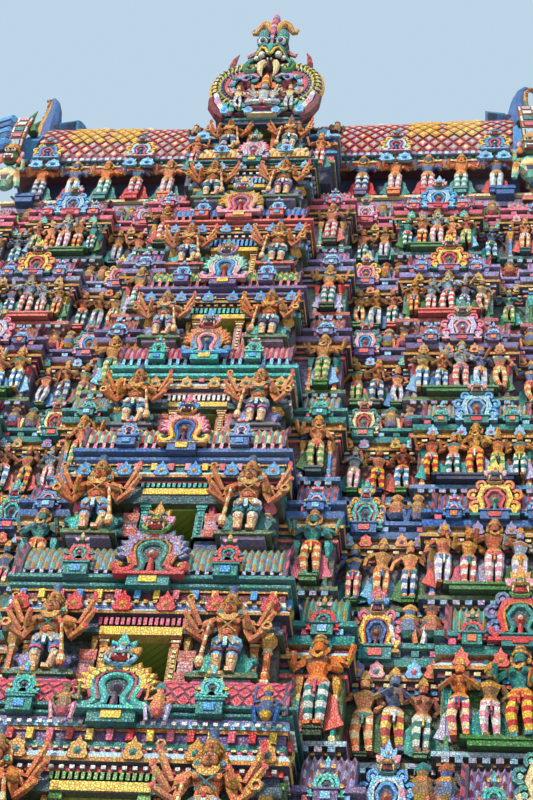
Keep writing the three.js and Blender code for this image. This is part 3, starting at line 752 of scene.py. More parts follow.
# Where the arms go: each is a shoulder side, an elbow and a hand.
armSets = {"blessing": [(-1, (-0.21, -0.04, 0.60), (-0.20, -0.14, 0.72)),
                        (1, (0.20, -0.03, 0.57), (0.13, -0.14, 0.52)),
                        (-1, (-0.25, 0.02, 0.66), (-0.30, -0.02, 0.84)),
                        (1, (0.25, 0.02, 0.66), (0.30, -0.02, 0.84))],
           "folded": [(-1, (-0.19, -0.06, 0.58), (-0.03, -0.15, 0.66)),
                      (1, (0.19, -0.06, 0.58), (0.03, -0.15, 0.66))],
           "staff": [(-1, (-0.23, -0.03, 0.62), (-0.27, -0.12, 0.76)),
                     (1, (0.19, -0.02, 0.57), (0.12, -0.10, 0.46))],
           "dancing": [(-1, (-0.24, -0.02, 0.62), (-0.28, -0.06, 0.80)),
                       (1, (0.21, -0.03, 0.58), (0.10, -0.14, 0.60))],
           "bowed": [(-1, (-0.21, -0.04, 0.58), (-0.24, -0.08, 0.42)),
                     (1, (0.21, 0.0, 0.58), (0.16, -0.10, 0.70))],
           "crowning": [(-1, (-0.24, -0.02, 0.74), (-0.14, -0.04, 0.96)),
                        (1, (0.20, -0.03, 0.58), (0.17, -0.08, 0.44))]}
legSets = {
    "straight": [((-0.056, -0.03, 0.24), (-0.046, 0, 0.03)), ((0.056, -0.03, 0.24), (0.046, 0, 0.03))],
    "hip": [((-0.075, -0.04, 0.24), (-0.045, 0, 0.03)), ((0.062, -0.03, 0.25), (0.08, -0.01, 0.03))],
    "crossed": [((-0.06, -0.05, 0.24), (0.03, -0.03, 0.03)), ((0.09, -0.03, 0.25), (0.07, 0.01, 0.03))],
}


def standingFigure(bm, arms, legs, lady=False, fine=False, plain=False):
    sides, cuts = (7, 4) if fine else (4, 2) if plain else (5, 3)
    for side, (knee, ankle) in zip((-1, 1), legSets[legs]):
        hip = (side * 0.048, 0, 0.47)
        limb(bm, ["legA", "legB"], [hip, knee, ankle], [0.062, 0.050, 0.032], sides, cuts)
        x, y, z = ankle
        slab(bm, "skin", (x - 0.032, y - 0.09, 0), (x + 0.032, y + 0.03, 0.04))
    waist = 0.058 if lady else 0.07
    turned(bm, ["cloth", "gold", "skin", "skin", "crown", "skin"],
           [(0.10, 0.40), (0.115, 0.465), (0.095, 0.50), (waist, 0.545), (0.112, 0.645), (0.128, 0.69),
            (0.04, 0.765)], sides=sides + 1, flat=0.72)
    slab(bm, "belt", (-0.010, -0.095, 0.32), (0.010, -0.06, 0.45))
    if lady:
        for side in (-1, 1):
            orb(bm, "skin", (side * 0.05, -0.07, 0.665), (0.045, 0.045, 0.045), 4, 3)
    if fine:
        arcBand(bm, "gold", (0, 0.73), 0.03, 0.058, -0.04, -0.10, 180, 360, 4)
    orb(bm, "skin", (0, -0.025, 0.825), (0.058, 0.062, 0.068), sides + 1, 3 if plain else 4)
    turned(bm, ["gold", "crown", "gold", "crown"], [(0.066, 0.86), (0.074, 0.885), (0.056, 0.92),
                                                    (0.056, 0.94), (0.008, 1.0)], (0, -0.015, 0), sides)
    if fine:
        disc(bm, "halo", (0, 0.87), 0.10, 0.04, 0.0, 7)
        for side in (-1, 1):
            orb(bm, "gold", (side * 0.075, -0.02, 0.80), (0.024, 0.02, 0.035), 4, 3)
    for side, elbow, hand in armSets[arms]:
        shoulder = (side * 0.115, 0, 0.705)
        tube(bm, ["skin", "gold", "skin"], [shoulder, elbow, Vector(elbow).lerp(Vector(hand), 0.3), hand],
             [0.040, 0.030, 0.028, 0.028], 5 if fine else (3 if plain else 4))
    for side in (-1, 1):
        outline = [(0.06, 0.46), (0.17, 0.32), (0.20, 0.17), (0.25, 0.06), (0.06, 0.0)]
        plate(bm, "fin", [(side * x, z) for x, z in outline], 0.07, 0.04)


# A squatting dwarf with a round belly, about 1 high, its hands on its knees.
def dwarf(bm, raised):
    for side in (-1, 1):
        limb(bm, "legA", mirrored(side, [(0.10, 0, 0.22), (0.34, -0.16, 0.34), (0.26, -0.12, 0.0)]),
             [0.11, 0.09, 0.06], 5, 1)
        hand = (side * 0.34, -0.05, 0.95) if raised and side < 0 else (side * 0.28, -0.24, 0.40)
        limb(bm, "skin", [(side * 0.17, 0, 0.62), (side * 0.36, -0.02, 0.55), hand], [0.07, 0.055, 0.05], 5,
             1)
    turned(bm, ["belt", "skin", "skin", "gold", "skin"],
           [(0.12, 0.14), (0.23, 0.25), (0.24, 0.40), (0.17, 0.54), (0.19, 0.62), (0.06, 0.72)],
           (0, -0.05, 0), 7, 0.9)
    orb(bm, "skin", (0, -0.03, 0.78), (0.12, 0.12, 0.13), 6, 4)
    turned(bm, "crown", [(0.15, 0.80), (0.16, 0.86), (0.10, 0.95), (0.02, 1.02)], (0, 0, 0), 6)


# A door guardian with eight arms, a tall crown and a club. Its crown's knot is at 1.
guardianLook = {
    "arms": [  # elbow and hand of each arm on one side, from the top
        ((0.270, 0.01, 0.565), (0.375, -0.05, 0.79)),
        ((0.275, 0.00, 0.465), (0.400, -0.08, 0.635)),
        ((0.225, -0.04, 0.375), (0.365, -0.14, 0.420)),
    ],
    "club": [(0.15, -0.17, 0.45), (0.20, -0.12, 0.10)],
}


def guardian(bm, hand, fine=True):
    more = 2 if fine else 0
    for side in (-1, 1):
        knee = (side * 0.07 + (0.05 if side == hand == 1 else 0), -0.05, 0.17)
        ankle = (side * 0.06, -0.02, 0.02)
        limb(bm, ["shorts", "shortsTrim", "shorts", "shin", "shin", "shin"],
             [(side * 0.062, 0, 0.37), knee, ankle], [0.085, 0.052, 0.034], 6 + more, 3)
        orb(bm, "shin", (knee[0], -0.068, 0.165), (0.046, 0.04, 0.045), 5, 4)
        slab(bm, "shin", (ankle[0] - 0.034, -0.11, -0.01), (ankle[0] + 0.034, 0.02, 0.035))
        tube(bm, "cuff", [(knee[0], -0.045, 0.205), (knee[0], -0.04, 0.235)], [0.070, 0.074], 6 + more)
    turned(bm, ["shorts", "gold", "belt", "gold", "belt", "skin", "skin", "skin", "skin"],
           [(0.115, 0.31), (0.128, 0.345), (0.124, 0.365), (0.134, 0.38), (0.116, 0.405), (0.098, 0.42),
            (0.088, 0.47), (0.112, 0.54), (0.140, 0.59), (0.05, 0.65)], sides=8 + more, flat=0.70)
    orb(bm, "skin", (0, -0.055, 0.455), (0.07, 0.045, 0.045), 7, 4)        # belly
    slab(bm, "cloth", (-0.018, -0.115, 0.26), (0.018, -0.08, 0.36))
    for side in (-1, 1):
        orb(bm, "skin", (side * 0.06, -0.07, 0.565), (0.062, 0.04, 0.04), 6, 4)        # chest
        orb(bm, "skin", (side * 0.14, 0, 0.605), (0.046, 0.046, 0.040), 5, 4)
        tube(bm, "sash", mirrored(side, [(0.115, -0.06, 0.62), (0.05, -0.115, 0.545),
                                         (-0.08, -0.085, 0.44)]), [0.007, 0.009, 0.007], 4)
        limb(bm, ["gold", "belt"], mirrored(side, [(0.02, -0.11, 0.36), (0.075, -0.10, 0.29),
                                                   (0.12, -0.06, 0.33)]), [0.013, 0.013, 0.013], 4, 2)
    arcBand(bm, "gold", (0, 0.640), 0.035, 0.095, -0.05, -0.110, 190, 350, 4 + more)        # collar
    orb(bm, "jewel", (0, -0.115, 0.385), (0.024, 0.016, 0.022), 5, 4)

    turned(bm, "skin", [(0.042, 0.63), (0.044, 0.67)], (0, -0.02, 0), 7)        # head
    orb(bm, "skin", (0, -0.035, 0.722), (0.062, 0.064, 0.074), 8 + more, 6)
    tube(bm, "skin", [(0, -0.09, 0.745), (0, -0.110, 0.712)], [0.008, 0.015], 4)
    for side in (-1, 1):
        orb(bm, "eye", (side * 0.025, -0.088, 0.74), (0.015, 0.011, 0.010), 5, 4)
        orb(bm, "pupil", (side * 0.025, -0.097, 0.74), (0.007, 0.005, 0.007), 4, 3)
        tube(bm, "hair", mirrored(side, [(0.008, -0.098, 0.757), (0.040, -0.088, 0.760)]), [0.005, 0.003],
             3)
        tube(bm, "hair", [(0, -0.102, 0.694), (side * 0.026, -0.095, 0.690)], [0.007, 0.004], 3)
        disc(bm, "gold", (side * 0.094, 0.700), 0.040, 0.01, -0.022, 5 + more)
        disc(bm, "earDisc", (side * 0.094, 0.700), 0.026, -0.02, -0.034, 5 + more)
        tube(bm, "gold", mirrored(side, [(0.066, -0.03, 0.69), (0.068, -0.04, 0.650)]), [0.010, 0.014], 4)
        if fine:
            for height in (0.80, 0.845):
                orb(bm, "gold", (side * 0.064, -0.03, height), (0.020, 0.03, 0.020), 4, 3)
    disc(bm, "halo", (0, 0.755), 0.125, 0.03, 0.0, 6 + 2 * more)
    turned(bm, ["gold", "crown", "gold", "crown", "gold", "crown", "knot", "knot", "knot"],
           [(0.060, 0.765), (0.070, 0.785), (0.062, 0.80), (0.068, 0.82), (0.052, 0.85), (0.056, 0.87),
            (0.040, 0.895), (0.032, 0.925), (0.044, 0.965), (0.01, 1.0)], (0, -0.03, 0), 6 + 2 * more)
    orb(bm, "jewel", (0, -0.105, 0.805), (0.018, 0.012, 0.024), 5, 4)

    for side in (-1, 1):
        shoulder = Vector((side * 0.138, 0.0, 0.605))
        for elbow, palm in guardianLook["arms"]:
            elbow, palm = (Vector(point) for point in mirrored(side, (elbow, palm)))
            path = [shoulder, shoulder.lerp(elbow, 0.45), shoulder.lerp(elbow, 0.62), elbow,
                    elbow.lerp(palm, 0.70), elbow.lerp(palm, 0.84), palm]
            tube(bm, ["arm", "gold", "arm", "arm", "gold", "arm"], path,
                 [0.044, 0.042, 0.040, 0.036, 0.030, 0.028, 0.020], 4 + more // 2)
            orb(bm, "palm", palm + Vector((side * 0.006, 0, 0.015)), (0.030, 0.022, 0.034), 4, 3)
            if fine:
                tube(bm, "palm", [palm, palm + Vector((-side * 0.012, -0.01, 0.06))], [0.012, 0.008], 4)
        near = Vector((side * 0.20, -0.09, 0.49))
        palm = Vector((side * 0.14, -0.17, 0.455)) if side == hand else Vector((side * 0.165, -0.17, 0.575))
        path = [shoulder, shoulder.lerp(near, 0.5), shoulder.lerp(near, 0.65), near,
                near.lerp(palm, 0.35), palm]
        tube(bm, ["arm", "gold", "arm", "gold", "arm"], path,
             [0.048, 0.046, 0.042, 0.036, 0.034, 0.026], 5 + more // 2)
        orb(bm, "palm", palm, (0.028, 0.024, 0.034), 5, 4)
    # what the raised hands hold
    arcBand(bm, "gold", (-0.378, 0.850), 0.022, 0.040, -0.03, -0.055, 0, 359, 4 + more)
    plate(bm, "token", [(0.362, 0.82), (0.392, 0.82), (0.40, 0.88), (0.377, 0.91), (0.355, 0.88)], -0.03,
          -0.055)
    arcBand(bm, "gold", (-hand * 0.370, 0.440), 0.026, 0.052, -0.15, -0.18, 0, 359, 4 + more)
    disc(bm, "token", (-hand * 0.370, 0.440), 0.028, -0.15, -0.165, 6)
    top, foot = (Vector((hand * x, y, z)) for x, y, z in guardianLook["club"])
    limb(bm, ["club", "clubRing"], [top, foot], [0.014, 0.022], 4 + more, 6)
    turned(bm, ["clubRing", "clubBall", "clubBall", "clubRing"],
           [(0.024, 0.125), (0.038, 0.105), (0.044, 0.07), (0.038, 0.04), (0.026, 0.0)],
           (foot.x, foot.y, 0), 6 + more)

    for side in (-1, 1):        # cloth that spreads from the hips
        outline = [(0.08, 0.38), (0.14, 0.35), (0.20, 0.24), (0.27, 0.25), (0.30, 0.19), (0.25, 0.16),
                   (0.22, 0.10), (0.29, 0.09), (0.31, 0.03), (0.24, 0.0), (0.08, 0.0)]
        plate(bm, "fin", [(side * x, z) for x, z in outline], 0.08, 0.045, ("finLight", 0.014, 0.010)
              if fine else None)
        for x, z in ((0.26, 0.205), (0.27, 0.05)) if fine else ():
            turned(bm, "finLight", [(0.03, 0), (0.012, 0.02)], (side * x, 0.045, z), 5, 1.0, (0, -1, 0))


print("making ornaments and figures")
# A round post, 1 high: its rings, lotus capital and square top as radius and height.
postProfile = [(0.24, 0.0), (0.24, 0.07), (0.14, 0.10), (0.17, 0.22), (0.12, 0.26), (0.12, 0.64),
               (0.19, 0.68), (0.13, 0.74), (0.28, 0.88), (0.28, 1.0)]
postParts = "trim trim shaft trim shaft trim trim capital capital".split()
plainPostProfile = [(0.24, 0.0), (0.14, 0.10), (0.12, 0.66), (0.28, 0.86), (0.28, 1.0)]
plainPostParts = "trim shaft capital capital".split()
# Arms, legs, and whether it is a lady.
poses = [("folded", "straight", False), ("staff", "hip", False), ("dancing", "hip", True),
         ("staff", "crossed", False), ("crowning", "crossed", False), ("blessing", "straight", False),
         ("staff", "straight", True), ("folded", "hip", True), ("blessing", "hip", False),
         ("bowed", "straight", False)]

horseshoes = [shapeOf(horseshoe, detail) for detail in range(4)]
petal, cube, tooth = shapeOf(cornicePetal), shapeOf(block), shapeOf(block)
post = shapeOf(turned, postParts, postProfile, sides=5)
plainRib, beadRib, tile, endHood = shapeOf(rib, 4), shapeOf(rib, 7), shapeOf(lozenge), shapeOf(hood)
doorPillar, pedestal = shapeOf(doorPost), shapeOf(stool)
deities = [shapeOf(standingFigure, "blessing", legs, lady, True)
           for legs, lady in (("straight", False), ("hip", True))]
people = [shapeOf(standingFigure, *pose) for pose in poses]
dwarves = [shapeOf(dwarf, False), shapeOf(dwarf, True)]
guardians = {hand: shapeOf(guardian, hand) for hand in (-1, 1)}
plainGuardians = {hand: shapeOf(guardian, hand, False) for hand in (-1, 1)}
# plainer shapes that stand in for the same ones on the back of the tower
petal.plainer, beadRib.plainer = shapeOf(cornicePetal, True), plainRib
post.plainer = shapeOf(turned, plainPostParts, plainPostProfile, sides=4)
for shape, pose in zip(people, poses):
    shape.plainer = shapeOf(standingFigure, *pose, plain=True)
deities[0].plainer, deities[1].plainer = people[5], people[6]
horseshoes[2].plainer, horseshoes[1].plainer = horseshoes[1], horseshoes[0]


# Colours of the horseshoe gables and of the lion faces on them, in the order of faceParts.
faceParts = ("ringA ringB rim core coreBoss ground leaf leafVein foot curl face mouth horn ear cheek crest "
             "crestBud lip").split()
faces = {
    "gold": "turquoise turquoise rose plum purple deepTeal gold yellow turquoise mint sky red azure "
            "gold sky turquoise gold ice",
    "red": "red teal gold red cream deepTeal slate lavender red gold green red teal pink leaf gold "
           "yellow gold",
    "flame": "yellow blue coral maroon gold navy rose pink gold teal gold maroon blue azure ochre rose "
             "gold blue",
    "blue": "azure pink gold blue yellow navy gold orange azure gold rose maroon gold pink coral azure "
            "gold teal",
    "scroll": "pink azure white red gold deepTeal teal mint pink azure lilac maroon gold rose lavender "
              "teal gold gold",
    "lotus": "pink rose gold red yellow navy yellow gold pink lilac rose red green lilac green yellow "
             "red lilac",
    "lilac": "lilac pink white red white slate rose pink pink teal teal maroon green gold green teal "
             "gold white",
    "sky": "sky azure white red gold navy azure sky sky pink azure maroon gold pink teal sky gold gold",
    "cream": "cream red gold teal gold maroon teal mint cream gold red maroon gold pink coral green "
             "yellow gold",
    "yellow": "yellow red ochre teal gold maroon orange yellow teal red orange maroon yellow pink ochre "
              "yellow red teal",
}
for name, row in faces.items():
    look = dict(zip(faceParts, row.split()), eye="white", pupil="black", tooth="white", tusk="cream")
    faces[name] = dict(look, snout=look["lip"])

# What each storey looks like, from the lowest upwards. Its bands are named from the lintel up, each with
# its foot as a share of the height and one or two colours. Of the shares, the gable's and the roof's are
# counted from the shelf, and the guardians' lift is in metres.
storeyLooks = [
    dict(bands="line 0.28 yellow, teeth 0.31 teal cream, dentils 0.4 red gold, kapota 0.43 ice, "
               "frieze 0.5 navy pink, line 0.545 gold, mould 0.56 rose, ribbed 0.66 teal mint",
         barrelFoot=0.72, barrel="maroon gold teal beads", ledge="pink", podium="teal", wall="deepTeal",
         posts="azure gold pink", columns="lavender white gold", gable="scroll yellow sky",
         petals="red", side="teal gold maroon gold navy", pedestal="green",
         gableFoot=0.7, gableRise=0.31, gableWidth=0.34,
         keeperLift=0.13, keeperHeight=0.56, keeperSpread=1.0),
    dict(bands="line 0.309 orange, line 0.337 maroon, teeth 0.359 green leaf, dentils 0.407 red white, "
               "kapota 0.435 ice, dentils 0.507 rose cream, line 0.524 teal, frieze 0.554 purple red, "
               "line 0.607 ochre, beads 0.626 sky white, line 0.652 lavender, mould 0.676 teal",
         barrelFoot=0.74, barrel="maroon rose red lozenges", ledge="pink", podium="green", wall="navy",
         posts="silver orange leaf", columns="sky white gold", gable="gold cream gold",
         petals="gold", side="purple lilac maroon rose blue", pedestal="green",
         gableFoot=0.693, gableRise=0.303, gableWidth=0.34,
         keeperLift=0.13, keeperHeight=0.56, keeperSpread=1.02),
    dict(bands="line 0.27 yellow, teeth 0.3 maroon rose, kapota 0.357 ice, line 0.405 blue, "
               "dentils 0.425 white gold, frieze 0.453 maroon azure, line 0.504 gold, mould 0.515 teal, "
               "line 0.585 gold, ribbed 0.6 lavender lilac",
         barrelFoot=0.635, barrel="slate gold mint beads", ledge="ice", podium="deepTeal", wall="deepTeal",
         posts="gold cream orange", columns="orange cream gold", gable="red red red",
         petals="red", side="teal gold mint maroon green", pedestal="green",
         gableFoot=0.576, gableRise=0.335, gableWidth=0.33,
         keeperLift=0.02, keeperHeight=0.49, keeperSpread=1.07),
    dict(bands="line 0.248 yellow, line 0.3 orange, teeth 0.361 teal turquoise, line 0.41 red, "
               "kapota 0.426 ice, frieze 0.498 teal pink, line 0.552 gold, mould 0.564 blue, "
               "ribbed 0.665 rose pink",
         barrelFoot=0.741, barrel="teal red cream ribs", ledge="green", podium="blue", wall="deepTeal",
         posts="turquoise teal turquoise", columns="pink cream rose", gable="flame yellow blue",
         petals="azure", side="blue brown rose gold navy", pedestal="green",
         gableFoot=0.697, gableRise=0.32, gableWidth=0.29,
         keeperLift=-0.12, keeperHeight=0.6, keeperSpread=1.2),
    dict(bands="line 0.224 yellow, teeth 0.281 maroon white, line 0.355 pink, kapota 0.379 ice, "
               "frieze 0.468 navy yellow, line 0.503 gold, mould 0.513 turquoise, line 0.62 white, "
               "ribbed 0.64 slate sky",
         barrelFoot=0.725, barrel="maroon pink rose ribs", ledge="azure", podium="blue", wall="deepTeal",
         posts="orange cream gold", columns="slate lavender gold", gable="blue sky gold",
         petals="gold", side="teal gold lilac gold maroon", pedestal="navy",
         gableFoot=0.722, gableRise=0.357, gableWidth=0.33,
         keeperLift=0.0, keeperHeight=0.58, keeperSpread=1.15),
    dict(bands="line 0.325 yellow, teeth 0.361 deepTeal turquoise, dentils 0.435 red gold, "
               "kapota 0.46 ice, frieze 0.52 blue cream, line 0.543 gold, mould 0.551 purple, "
               "line 0.645 teal, ribbed 0.66 maroon rose",
         barrelFoot=0.745, barrel="green yellow teal beads", ledge="green", podium="lavender", wall="navy",
         posts="pink cream gold", columns="lavender white gold", gable="scroll lilac sky",
         petals="azure", side="purple red gold red purple", pedestal="green",
         gableFoot=0.711, gableRise=0.363, gableWidth=0.34,
         keeperLift=0.16, keeperHeight=0.54, keeperSpread=1.12),
    dict(bands="line 0.3 yellow, teeth 0.329 navy azure, dentils 0.44 red white, kapota 0.475 ice, "
               "frieze 0.539 navy pink, line 0.565 gold, mould 0.574 coral, line 0.66 white, "
               "ribbed 0.675 maroon rose",
         barrelFoot=0.75, barrel="blue lavender azure ribs", ledge="coral", podium="pink", wall="deepTeal",
         posts="yellow cream orange", columns="orange cream gold", gable="lotus yellow sky",
         petals="azure", side="lavender purple rose lilac teal", pedestal="coral",
         gableFoot=0.725, gableRise=0.375, gableWidth=0.37,
         keeperLift=0.13, keeperHeight=0.56, keeperSpread=1.08),
    dict(bands="line 0.3 coral, teeth 0.361 navy sky, line 0.46 pink, dentils 0.485 teal white, "
               "kapota 0.525 ice, frieze 0.575 navy pink, line 0.61 gold, mould 0.629 teal, "
               "line 0.68 pink, line 0.7 white, line 0.72 orange",
         barrelFoot=0.765, barrel="ochre cream yellow rope", ledge="teal", podium="teal", wall="deepTeal",
         posts="coral teal cream", columns="lavender white gold", gable="lilac sky sky",
         petals="sky", side="rose pink teal gold navy", pedestal="green",
         gableFoot=0.68, gableRise=0.33, gableWidth=0.27,
         keeperLift=0.3, keeperHeight=0.56, keeperSpread=1.0),
]


def bandsFrom(text):
    bands = [band.split() for band in text.split(", ")]
    return [(kind, float(foot), *tints) for kind, foot, *tints in bands]


for look in storeyLooks:
    look["bands"] = bandsFrom(look["bands"])
    look["lintel"] = look["bands"][0][1]
    for key in ("barrel", "posts", "columns", "gable", "side"):
        look[key] = look[key].split()

lip = 0.17        # how far a storey's kapota stands out


def bandFeet(bands, foot, height, top):
    feet = [foot + band[1] * height for band in bands] + [top]
    return zip(bands, feet, feet[1:])


def bandProfile(bands, foot, height, top, lip):
    # outside points and colours of a stack of bands
    reach = {"line": 0.07, "teeth": 0.0, "dentils": 0.06, "beads": 0.09, "frieze": 0.03, "ribbed": 0.05}
    rounded = {"kapota": [(0.03, 0), (lip, 0.14), (lip + 0.02, 0.4), (lip * 0.7, 0.8), (0.07, 1)],
               "mould": [(0.05, 0), (0.13, 0.18), (0.13, 0.42), (0.06, 0.48), (0.06, 0.6), (0.20, 0.72),
                         (0.20, 1)]}
    points, parts = [], []
    for (kind, _, colour, *_), z0, z1 in bandFeet(bands, foot, height, top):
        outline = rounded.get(kind) or [(reach[kind], 0), (reach[kind], 1)]
        points += [(out, z0 + up * (z1 - z0) if up < 1 else z1) for out, up in outline]
        parts += {"kapota": ["navy", "gold"] + [colour] * 3,
                  "mould": [colour, colour, "white", "navy"] + [colour] * 3}.get(kind, [colour] * 2)
    return points, parts


def rowAlong(x0, x1, y, z, spacing, size, tints):
    # teeth along a straight front, standing proud of it, in one colour after the other
    count, tints = max(1, round((x1 - x0) / spacing)), tints.split()
    step = (x1 - x0) / count
    return [(tooth, moved(x0 + (i + 0.5) * step, y, z) @ scaled(*size), {"block": tints[i % len(tints)]})
            for i in range(count)]


# The raised blocks of each kind of band: how far out, how high up, how far apart, how wide, deep and high.
bandBlockSizes = {
    "teeth": (0.04, 0.15, 0.22, 0.10, 0.10, 0.72), "dentils": (0.09, 0.2, 0.20, 0.09, 0.10, 0.6),
    "beads": (0.12, 0.2, 0.20, 0.09, 0.10, 0.6), "frieze": (0.08, 0.0, 0.40, 0.13, 0.14, 1.0),
    "ribbed": (0.08, 0.08, 0.20, 0.08, 0.10, 0.84), "lintelTeeth": (0.06, 0.15, 0.12, 0.07, 0.10, 0.72),
}


def bandBlocks(bands, foot, height, top, x0, x1, y, doorway=None):
    # the raised blocks, posts and ribs of the bands along one straight front
    copies = []
    for band, z0, z1 in bandFeet(bands, foot, height, top):
        overDoor = band[0] == "teeth" and doorway
        kind = "lintelTeeth" if overDoor else band[0]
        if kind in bandBlockSizes:
            out, up, spacing, wide, deep, high = bandBlockSizes[kind]
            start, stop = (-doorway, doorway) if overDoor else (x0, x1)
            copies += rowAlong(start, stop, y - out, z0 + up * (z1 - z0), spacing,
                               (wide, deep, high * (z1 - z0)),
                               band[3] + (" yellow rose" if kind == "frieze" else ""))
    return copies


def porchCorners(x, backY, frontY):
    return [(-x, backY, -1, 0), (-x, frontY, -1, -1), (x, frontY, 1, -1), (x, backY, 1, 0)]


# A quarter-round roof body, 1 wide, 1 deep towards -Y and 1 high.
def quarterDrum(bm):
    face = faceFrom(bm, [(-0.5, -1, 0), (0.5, -1, 0), (0.5, -0.04, 0), (-0.5, -0.04, 0)])
    spun(bm, face, -90, 8)
    paintNew(bm, "drum")


drum = shapeOf(quarterDrum)


def barrelRoof(x0, x1, y, z0, z1, depth, look, shell="plum", spacing=0.14, hoods=True):
    # a barrel roof along a front: its body, its ribs or lozenges, and a shell at each end
    body, ribA, ribB, kind = look
    copies = [(drum, moved((x0 + x1) / 2, y, z0) @ scaled(x1 - x0, depth, z1 - z0), {"drum": body})]
    count = max(3, round((x1 - x0) / (spacing if kind != "lozenges" else 0.26)))
    step = (x1 - x0) / count
    for i in range(count):
        here = moved(x0 + (i + 0.5) * step, y, z0) @ scaled(1, depth, z1 - z0)
        if kind == "lozenges":
            for j, turn in enumerate((10, 26, 42, 58)):
                place = here @ Matrix.Rotation(math.radians(-turn), 4, "X")
                place = place @ moved(step * (j % 2) / 2, -1, 0) @ scaled(step, 0.1, 0.36)
                copies.append((tile, place, {"border": ribA, "tile": ribB}))
        else:
            palette = {"ribA": ribA, "ribB": ribB} if i % 2 else {"ribA": ribB, "ribB": ribA}
            copies.append((plainRib if kind == "ribs" else beadRib, here @ scaled(step * 0.76, 1, 1),
                           palette))
    for side in (-1, 1) if hoods else ():
        place = moved(x1 if side > 0 else x0, y, z0) @ scaled(side * 0.36 * (z1 - z0), depth, z1 - z0)
        copies.append((endHood, place, {"shell": shell, "shellTooth": "rose"}))
    return copies


# Random but repeatable dress for the small figures.
skins = ("tan copper orange ochre teal gold copper tan bronze silver copper ochre bronze slate slate "
         "tan").split()
stripes = [pair.split()
           for pair in ("white azure", "pink white", "white teal", "yellow red", "cream rose",
                        "lilac white", "orange cream", "blue white", "leaf cream", "coral white")]
cloths = "red teal white yellow rose blue green coral lilac orange".split()
fins = "azure teal lilac coral turquoise rose sky green".split()


def dress():
    legA, legB = random.choice(stripes)
    return {"skin": random.choice(skins), "legA": legA, "legB": legB, "cloth": random.choice(cloths),
            "belt": random.choice(cloths), "fin": random.choice(fins), "gold": "gold",
            "halo": random.choice(["gold", "ochre", "teal", "maroon", "ochre"]),
            "crown": random.choice(["gold", "ochre", "copper", "brown", "gold", "teal"])}


# What all guardians wear, and the rest of each one's dress in the order of dressParts.
sameDress = {"gold": "gold", "jewel": "red", "cloth": "ice", "eye": "white", "pupil": "black",
             "hair": "brown", "earDisc": "teal", "halo": "ochre", "knot": "slate", "token": "red",
             "shortsTrim": "azure", "club": "cream", "clubRing": "tan", "clubBall": "cream",
             "shin": "flesh"}
dressParts = "skin arm palm shorts cuff belt fin finLight sash crown".split()
guardianDresses = [dict(sameDress, **dict(zip(dressParts, row.split()))) for row in (
    "orange sienna tan sky maroon cream teal turquoise gold bronze",
    "tan sienna orange white teal gold deepTeal teal gold ochre",
    "tan tan coral silver rose white slate lavender teal bronze")]


def sideCorners(s):
    # a storey's plan from inside its front porch round the end to inside its back porch
    runs = sideRuns(s)
    panelEnd, d, l = runs["panel"][1], s.depth, s.length
    bayStart, bayStop, bay = runs["bay"]
    cornerStart, cornerOut, corner = runs["corner"]
    cornerBack, panel = -runs["cornerEnd"][1], runs["panel"][2]
    run = [(s.porch - 0.3, panel, 0, 1), (panelEnd, panel, 1, 1), (panelEnd, d, 1, 1), (bayStart, d, -1, 1),
           (bayStart, bay, -1, 1), (bayStop, bay, 1, 1), (bayStop, d, 1, 1), (cornerStart, d, -1, 1),
           (cornerStart, corner, -1, 1), (cornerOut, corner, 1, 1), (cornerOut, cornerBack, 1, -1),
           (l, cornerBack, 1, -1), (l, 0.4 * d, 1, 1), (l + tower["endBayReach"], 0.4 * d, 1, 1)]
    return [(x, -y, sx, -sy) for x, y, sx, sy in run] + [(x, y, sx, sy) for x, y, sx, sy in reversed(run)]


def sideRuns(s):
    # the straight fronts of the right half: name, first and last x or y, and how far out they stand
    panelEnd = s.porchOuter + tower["panelWidth"]
    d, l = s.depth, s.length
    cornerBack = d - 2 * s.cornerHalf * d / l
    return {
        "panel": (s.porch + 0.25, panelEnd, d + tower["panelReach"]),
        "recess": (panelEnd, s.bayMid - s.bayHalf, d),
        "bay": (s.bayMid - s.bayHalf, s.bayMid + s.bayHalf, d + tower["bayReach"]),
        "gap": (s.bayMid + s.bayHalf, l - 2 * s.cornerHalf, d),
        "corner": (l - 2 * s.cornerHalf, l + tower["cornerReach"], d + tower["cornerReach"]),
        "cornerEnd": (-d - tower["cornerReach"], -cornerBack, l + tower["cornerReach"]),
        "recessEnd": (-cornerBack, -0.4 * d, l),
        "bayEnd": (-0.4 * d, 0.4 * d, l + tower["endBayReach"]),
    }


towardsEnd = Matrix.Rotation(math.pi / 2, 4, "Z")       # turns a thing that faces -Y to face +X


def placed(turn, copies):
    return [(shape, turn @ place, palette) for shape, place, palette in copies]


def plainer(copies):
    # the same copies for the back of the tower: plainer shapes, and half as many teeth
    return [(getattr(shape, "plainer", shape), place, palette)
            for i, (shape, place, palette) in enumerate(copies) if shape is not tooth or i % 2 == 0]


def everyQuarter(copies):
    return [item for quarter in quarters
            for item in placed(quarter, copies if quarter in quarters[:2] else plainer(copies))]


def bothEnds(copies):
    return [(shape, side @ place, palette) for shape, place, palette in copies for side in (front, flipX)]


def frontAndBack(copies):
    return placed(front, copies) + placed(back, plainer(copies))


def once(make):
    return [(shapeOf(make), front, {})]


def allRound(byRun):
    # the runs of one quarter set in every quarter, and the end bay's only at both ends
    ends = placed(towardsEnd, byRun.pop("bayEnd", []))
    quarter = [item for name, copies in byRun.items()
               for item in (placed(towardsEnd, copies) if name.endswith("End") else copies)]
    return everyQuarter(quarter) + bothEnds(ends)


